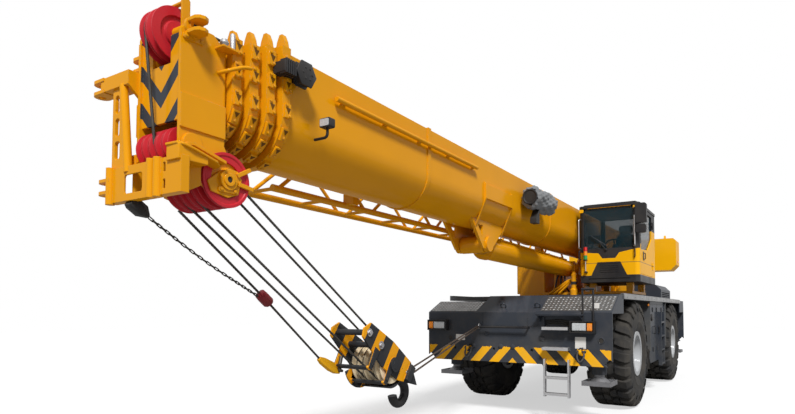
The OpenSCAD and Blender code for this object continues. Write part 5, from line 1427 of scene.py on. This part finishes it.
# %% Dead end and wedge socket
DEAD_Y = -0.225
DEAD_LINE = [(9.83, DEAD_Y, 2.433), (9.007, DEAD_Y, 1.798), (8.301, DEAD_Y, 1.215)]
SOCKET_AIM, SOCKET_GRIP, SOCKET_PIN_AT = Vector((8.05, DEAD_Y, 1.08)), 0.02, 0.30
SQUARE = ((-1, -1), (1, -1), (1, 1), (-1, 1))
# each station of a scaled loft: how far along, half height, half width
SOCKET = (
    (0, 0.018, 0.018), (0.06, 0.034, 0.026), (0.20, 0.046, 0.030), (0.29, 0.038, 0.030), (0.33, 0.022, 0.026),
)


def scaled_loft(bm, start, way, stations, section):
    _, lift = side_axes(way)
    rings = []
    for run, tall, wide in stations:
        centre = start + way * run
        rings.append([centre + lift * (tall * v) + ACROSS * (wide * u) for u, v in section])
    loft(bm, rings)


rope("dead_end_rope", DEAD_LINE, "hook")
rope_end = Vector(DEAD_LINE[2])
socket_way = (SOCKET_AIM - rope_end).normalized()
socket_start = rope_end - socket_way * SOCKET_GRIP
bm = bmesh.new()
scaled_loft(bm, socket_start, socket_way, SOCKET, SQUARE)
piece("wedge_socket", bm, weight_paint, "hook", bevel=0.004)
print("dead end at", tuple(round(v, 2) for v in rope_end))

# %% [markdown]
# A weight rides on the dead end, and a chain holds it up to the hoist's limit switch under
# the head: when the block comes too near, it lifts the weight and the switch stops the winch.
# A chain is the same bent link again and again, each turned a quarter against the one before.
# It hangs between two bodies, so it is baked in place and rides on neither.

# %% Chain, limit switch and trip weight
CHAIN_PITCH, CHAIN_WIRE, LINK_POINTS = 0.036, 0.0045, 12
CHAIN_TOP, HANG = Vector((10.058, DEAD_Y, 2.347)), Vector((9.006, DEAD_Y, 1.797))
CHAIN_LINE = [CHAIN_TOP, (9.625, DEAD_Y, 2.081), (9.051, DEAD_Y, 1.80)]
SWITCH_SEAT = Vector((10.195, DEAD_Y, 2.441))
SWITCH = (
    (-0.004, 0.034, 0.040), (0.02, 0.044, 0.046), (0.10, 0.044, 0.046),
    (0.125, 0.030, 0.034), (0.158, 0.012, 0.014),
)
TRIP_WEIGHT = [(0.014, -0.07), (0.046, -0.06), (0.050, -0.02), (0.050, 0.06), (0.040, 0.075), (0.014, 0.08)]


def chain_links(bm, points, pitch, wire):
    line = spaced(points, pitch)
    for k, (a, b) in enumerate(zip(line, line[1:])):
        ahead = (b - a).normalized()
        side, lift = side_axes(ahead)
        flat = side if k % 2 else lift
        mid, half, wide = (a + b) / 2, pitch * 0.5 + wire * 1.4, wire * 1.9
        ring = []
        for t in full_turn(LINK_POINTS):
            bow = half - wide if math.cos(t) > 0 else wide - half
            ring.append(mid + ahead * (bow + wide * math.cos(t)) + flat * (wide * math.sin(t)))
        tube(bm, ring + ring[:2], wire, 6)


bm = bmesh.new()
pin_at = socket_start + socket_way * SOCKET_PIN_AT
tube(bm, [pin_at - ACROSS * 0.045, pin_at + ACROSS * 0.075], 0.014, 12)
link_arm = [pin_at + ACROSS * 0.05, on_falls(0.24, -0.19, 0.30), on_falls(0.12, -0.20, 0.33)]
tube(bm, eased(link_arm, 0.05), 0.020, 10)
chain_links(bm, eased(CHAIN_LINE, 0.3), CHAIN_PITCH, CHAIN_WIRE)
piece("socket_pin_and_chain", bm, rope_wire, "hook", blend=("boom_5", "hook", 10.05, 9.10))
bm = bmesh.new()
switch_way = (CHAIN_TOP - SWITCH_SEAT).normalized()
scaled_loft(bm, SWITCH_SEAT, switch_way, SWITCH, rounded_box(-1, 1, -1, 1, 0.4, 3))
piece("limit_switch", bm, black_plastic, "boom_5", bevel=0.002)
bm = bmesh.new()
dead_way = (Vector(DEAD_LINE[1]) - Vector(DEAD_LINE[0])).normalized()
turned(bm, TRIP_WEIGHT, HANG, dead_way, 24)
piece("trip_weight", bm, weight_red, "hook")
print("chain hangs over", round((CHAIN_TOP - HANG).length, 2), "m")

# %% [markdown]
# The hook is held back by a webbing sling to the carrier's front. Its long end stays on the
# carrier and only a short end stays with the hook, so nothing is dragged through the crane
# when a joint moves. At rest the two ends meet and read as one sling.

# %% Tie-back sling
SLING_SPLIT, WEB_HALF, WEB_T = 0.22, 0.017, 0.003
SLING_EYE = Vector((PANEL_FACE + 0.055, -0.574, 1.43))
SLING_LEGS = ((-0.03, 0.018), (0.03, -0.018))
shank = on_falls(-0.08, 0.0, -0.46)
ends = {"hook": bmesh.new(), "carrier": bmesh.new()}
for spread, rise in SLING_LEGS:
    offset = Vector((0, spread, rise))
    first, last = shank + offset, SLING_EYE + offset * 0.4
    middle = first.lerp(last, SLING_SPLIT)
    section = [ACROSS * (WEB_HALF * u) + UP * (WEB_T * v) for u, v in SQUARE]
    for body, a, b in (("hook", first, middle), ("carrier", middle, last)):
        loft(ends[body], [[p + spot for spot in section] for p in spaced([a, b], 0.1)])
for body, bm in ends.items():
    piece("sling_end_" + body, bm, sling_web, body)
bm = bmesh.new()
ring = [SLING_EYE + Vector((0.03 * math.cos(a) - 0.02, 0, 0.04 * math.sin(a))) for a in full_turn(16, 2)]
tube(bm, ring, 0.010, 8)
piece("sling_shackle", bm, bare_steel, "carrier")
print("sling from", tuple(round(v, 2) for v in shank), "to", tuple(round(v, 2) for v in SLING_EYE))

# %% [markdown]
# ## Turntable and winches
# Behind the cab the machine is heavy plate and hydraulics. A ring of big bolts holds the
# slewing bearing, and smaller rings close the winches' gears.

# %% Bolts on the superstructure
TABLE_TOP, RING_BOLT_R = 2.0601, 0.78
WINCH_X, WINCH_Y, WINCH_Z = (-2.76, -3.33), 0.415, 3.2201
WEIGHT_BACK = -4.3
bm = bmesh.new()
bolt_circle(bm, UP * TABLE_TOP, UP, RING_BOLT_R, 40, 0.034)
for s in (-1, 1):
    for x in WINCH_X:
        bolt_circle(bm, (x, s * WINCH_Y, WINCH_Z), (0, s, 0), 0.085, 8, 0.024)
    for z in (2.90, 3.52):
        for y in (0.30, 1.15):
            bolt(bm, (WEIGHT_BACK, s * y, z), -ALONG, 0.04)
piece("superstructure_bolts", bm, bare_steel, "superstructure")
print("slewing bolts on a circle of", 2 * RING_BOLT_R, "m")

# %% [markdown]
# Pipes climb from the turntable to the lift cylinder: steel ones are painted with the boom,
# and short rubber hoses take up the movement. The upright post is a turned form with steps.

# %% Pipes and hoses
POST = Vector((1.60, 0.262, 0))
POST_PROFILE = [
    (0.075, 1.985), (0.075, 2.10), (0.050, 2.13), (0.050, 2.40), (0.034, 2.42), (0.034, 2.45), (0.0, 2.45),
]
bm = bmesh.new()
turned(bm, POST_PROFILE, POST, UP, 28)
box(bm, (1.42, 0.21, 1.99), (1.60, 0.31, 2.05))
for k in range(3):
    low_y, high_y = -0.30 + 0.10 * k, 0.10 + 0.05 * k
    lower = [(1.44, low_y, 2.00), (1.50, low_y + 0.02, 2.03)]
    upper = [(1.50, high_y, 2.28), (1.38, high_y + 0.04, 2.32)]
    tube(bm, eased(lower + upper, 0.06), 0.021, 10)
piece("front_pipes", bm, boom_paint, "superstructure", bevel=0.002)

bm = bmesh.new()
ring_of(bm, [(0.049, 2.20), (0.049, 2.26), (0.054, 2.26), (0.054, 2.20)], POST, UP, 28)
for k in range(3):
    y = -0.10 + 0.07 * k
    route = [(1.30, y * 1.8, 2.08), (1.48, y * 1.6, 2.16), (1.50, y, 2.38), (1.36, y, 2.44)]
    tube(bm, eased(route, 0.10), 0.017, 10)
SIDE_HOSES = (
    ((-1.35, 0.47, 2.10), (-1.35, 0.52, 2.45), (-1.62, 0.53, 2.86), (-1.95, 0.50, 2.90)),
    ((-1.25, 0.47, 2.10), (-1.25, 0.52, 2.40), (-1.55, 0.53, 2.80), (-1.95, 0.50, 2.85)),
)
for s in (-1, 1):
    for hose in SIDE_HOSES:
        tube(bm, eased([(x, s * y, z) for x, y, z in hose], 0.15), 0.019, 10)
piece("turntable_hoses", bm, black_rubber, "superstructure")
print("hoses and pipes:", 3 + 3 + 2 * len(SIDE_HOSES))

# %% [markdown]
# Two pipes run along the top of the lift cylinder's barrel, held by clamps. The barrel leans,
# so `on_barrel` turns a length along it and a rise above it into a point, and the barrel's
# own box says where it ends.

# %% Lift cylinder pipes
LIFT_FOOT, LIFT_EYE = Vector((1.2, 0, 2.5501)), Vector((5.43, 0, 2.6101))
PIPE_Y, PIPE_R, PIPE_RISE, BARREL_RISE = 0.09, 0.014, 0.155, 0.10
CLAMPS, CLAMP_HALF, CLAMP_T = 5, 0.11, 0.02
barrel = nodes["lift_barrel"]
barrel_end = max((barrel.matrix_world @ Vector(c)).x for c in barrel.bound_box) + SLEW_BACK
lift_run = (LIFT_EYE - LIFT_FOOT).normalized()
_, lift_up = side_axes(lift_run)
lift_up = lift_up if lift_up.z > 0 else -lift_up


def on_barrel(x, y, rise):
    return LIFT_FOOT + lift_run * (x - LIFT_FOOT.x) + ACROSS * y + lift_up * rise


bm = bmesh.new()
pipe_out = [(1.50, BARREL_RISE), (1.52, PIPE_RISE)]
pipe_in = [(barrel_end - 0.16, PIPE_RISE), (barrel_end - 0.10, BARREL_RISE)]
for y in (-PIPE_Y, PIPE_Y):
    tube(bm, eased([on_barrel(x, y, rise) for x, rise in pipe_out + pipe_in], 0.05), PIPE_R, 12)
clamp_top = PIPE_RISE + 0.018
low_edge = [(-CLAMP_HALF, BARREL_RISE), (CLAMP_HALF, BARREL_RISE)]
section = low_edge + [(CLAMP_HALF, clamp_top), (-CLAMP_HALF, clamp_top)]
for k in range(CLAMPS):
    x = 1.85 + (barrel_end - 2.3) * k / (CLAMPS - 1)
    loft(bm, [[on_barrel(x + dx, y, rise) for y, rise in section] for dx in (-CLAMP_T, CLAMP_T)])
piece("lift_cylinder_pipes", bm, boom_paint, "lift_barrel", bevel=0.002)
print("lift barrel ends at", round(barrel_end, 3))

# %% [markdown]
# The tank has a filler cap, a breather and a level glass, all black. Red reflectors on the
# counterweight's corners mark how far the machine's tail reaches when it slews.

# %% Tank fittings and counterweight reflectors
TANK_TOP = 2.7001
FILLER = [(0.070, 0.040), (0.070, 0.075), (0.050, 0.085), (0.0, 0.085)]
REFLECTOR = [(0.052, 0), (0.052, 0.008), (0.046, 0.012), (0.0, 0.012)]
BREATHER = [(0.030, 0), (0.030, 0.05), (0.048, 0.055), (0.048, 0.11), (0.0, 0.12)]
bm = bmesh.new()
turned(bm, FILLER, (0.30, -0.90, TANK_TOP), UP, 28)
turned(bm, BREATHER, (-0.20, -1.05, TANK_TOP), UP, 24)
slab(bm, rounded_box(0.46, 0.52, 2.25, 2.55, 0.012), "Y", -1.344, -1.330)
piece("tank_fittings", bm, black_plastic, "superstructure", bevel=0.002)
# The reflectors take the red lens finish, whose faint glow is painted light: a reflector is no lamp.
bm = bmesh.new()
for s in (-1, 1):
    turned(bm, REFLECTOR, (WEIGHT_BACK, s * 1.36, 3.05), -ALONG, 28)
    side_slab(bm, rounded_box(-4.06, -3.92, 3.00, 3.045, 0.010), s, 1.47, 1.480)
piece("rear_reflectors", bm, red_lens, "superstructure")
print("pieces so far:", len(made_pieces))

# %% [markdown]
# ## The operator's seat
# Cushions are soft, so they are the one place where CAD's flat blocks can't stay. A cushion
# here starts as a finely cut cube. Its corners are pulled in towards a rounded form, its big
# faces are blown up a little as foam under cloth is, and a piped seam runs round its edge.

# %% Cushions
CROWN, ROUNDNESS, CUTS, PIPING_R = 0.16, 4.0, 10, 0.005
SEAT_X, SEAT_Y, CAB_FLOOR = 0.62, 1.0075, 2.3501
BACK_LEAN, CUSHION_FILL, ARM_Y = -0.115, 0.8, 0.31
SEAT_AT = Vector((SEAT_X, SEAT_Y, CAB_FLOOR))


def cushion(bm, low, high, lean):
    middle, half = (low + high) / 2, (high - low) / 2
    bmesh.ops.create_cube(bm, size=2.0)
    bmesh.ops.subdivide_edges(bm, edges=bm.edges, cuts=CUTS, use_grid_fill=True)
    thin = min(range(3), key=lambda k: half[k])
    for vert in bm.verts:
        u = vert.co / sum(abs(c) ** ROUNDNESS for c in vert.co) ** (1 / ROUNDNESS)
        others = [u[k] for k in range(3) if k != thin]
        u[thin] *= 1 + CROWN * (1 - others[0] ** 2) * (1 - others[1] ** 2)
        place = middle + u * half
        place.x += (place.z - low.z) * lean
        vert.co = place


def piping(bm, low, high, axis, lean):
    a, b = [k for k in range(3) if k != axis]
    middle = (low[axis] + high[axis]) / 2
    line = []
    for u, v in rounded_box(low[a], high[a], low[b], high[b], 0.05, 6):
        point = Vector((0, 0, 0))
        point[axis], point[a], point[b] = middle, u, v
        point.x += (point.z - low.z) * lean
        line.append(point)
    tube(bm, line + line[:2], PIPING_R, 8)


# each pad: lowest and highest corner from the seat's foot, the axis across it, and its lean
SEAT_PADS = {
    "seat_cushion": ((-0.23, -0.25, 0.245), (0.27, 0.25, 0.375), 2, 0.0),
    "seat_back": ((-0.285, -0.20, 0.36), (-0.165, 0.20, 0.955), 0, BACK_LEAN),
    "head_rest": ((-0.345, -0.14, 0.965), (-0.255, 0.14, 1.135), 0, 0.0),
    "arm_pad_left": ((-0.15, ARM_Y - 0.045, 0.485), (0.27, ARM_Y + 0.045, 0.548), 2, 0.0),
    "arm_pad_right": ((-0.15, -ARM_Y - 0.045, 0.485), (0.27, -ARM_Y + 0.045, 0.548), 2, 0.0),
}
for name, (low, high, axis, lean) in SEAT_PADS.items():
    low, high = SEAT_AT + Vector(low), SEAT_AT + Vector(high)
    bm = bmesh.new()
    cushion(bm, low, high, lean)
    if not name.startswith("arm"):
        piping(bm, low, high, axis, lean)
    pad = piece(name, bm, seat_cloth, "superstructure", smooth=60)
print("seat pads:", len(SEAT_PADS))

# %% [markdown]
# The hard parts of the seat, the levers and the wheel are turned and lofted. The wheel's rim
# is a tube bent into a ring, which a CAD disc with a hole only stands for.

# %% Seat frame, levers and steering wheel
SEAT_POST = [(0.155, 0.0), (0.150, 0.02), (0.070, 0.06), (0.070, 0.16), (0.16, 0.24), (0.16, 0.26)]
LEVER = [
    (0.036, 0.545), (0.030, 0.575), (0.012, 0.590), (0.012, 0.62),
    (0.021, 0.64), (0.019, 0.668), (0.0, 0.670),
]
WHEEL_HUB = [(0.052, -0.038), (0.054, 0.0), (0.040, 0.012), (0.0, 0.014)]
WHEEL_R, WHEEL_TILT = 0.181, math.radians(40)
COLUMN, WHEEL = Vector((1.52, SEAT_Y, CAB_FLOOR + 0.014)), Vector((1.324, SEAT_Y, CAB_FLOOR + 0.60))


def seat_box(bm, low, high):
    box(bm, SEAT_AT + Vector(low), SEAT_AT + Vector(high))


bm = bmesh.new()
turned(bm, SEAT_POST, SEAT_AT, UP, 28)
for s in (-1, 1):
    near, far = sorted((s * (ARM_Y - 0.09), s * (ARM_Y - 0.02)))
    seat_box(bm, (-0.055, near, 0.30), (-0.005, far, 0.33))
    seat_box(bm, (-0.055, s * ARM_Y - 0.04, 0.30), (-0.005, s * ARM_Y + 0.04, 0.49))
    turned(bm, LEVER, SEAT_AT + Vector((0.19, s * ARM_Y, 0)), UP, 20)
for y in (-0.06, 0.06):
    tube(bm, [SEAT_AT + Vector((-0.30, y, z)) for z in (0.93, 1.00)], 0.008, 8)
wheel_axis = Vector((-math.sin(WHEEL_TILT), 0, math.cos(WHEEL_TILT)))
tube(bm, spaced([COLUMN, WHEEL - wheel_axis * 0.03], 0.1), 0.044, 20)
side, lift = side_axes(wheel_axis)
rim = [WHEEL + (side * math.cos(a) + lift * math.sin(a)) * WHEEL_R for a in full_turn(48, 2)]
tube(bm, rim, 0.0145, 12)
for angle in full_turn(3):
    out = side * math.cos(angle + 0.5) + lift * math.sin(angle + 0.5)
    tube(bm, [WHEEL + out * 0.03, WHEEL + out * 0.172], 0.011, 8)
turned(bm, WHEEL_HUB, WHEEL, wheel_axis, 28)
seat_frame = piece("seat_frame_and_wheel", bm, black_plastic, "superstructure", bevel=0.0015)
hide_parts("cab_seat")
print("steering wheel", round(2 * WHEEL_R, 3), "m across")

# %% [markdown]
# A small screen on a stalk shows the operator the load. Its face is a separate thin plate of
# the window's dark glass, left blank.

# %% Load screen
bm = bmesh.new()
box(bm, (1.60, 0.56, 2.98), (1.63, 0.80, 3.14))
tube(bm, [(1.62, 0.62, 2.86), (1.62, 0.66, 3.0)], 0.012, 8)
piece("load_screen", bm, black_plastic, "superstructure", bevel=0.004)
bm = bmesh.new()
slab(bm, rounded_box(0.575, 0.785, 2.995, 3.125, 0.006), "X", 1.5985, 1.600)
piece("load_screen_face", bm, window_tint, "superstructure")
print("pieces in all:", len(made_pieces))
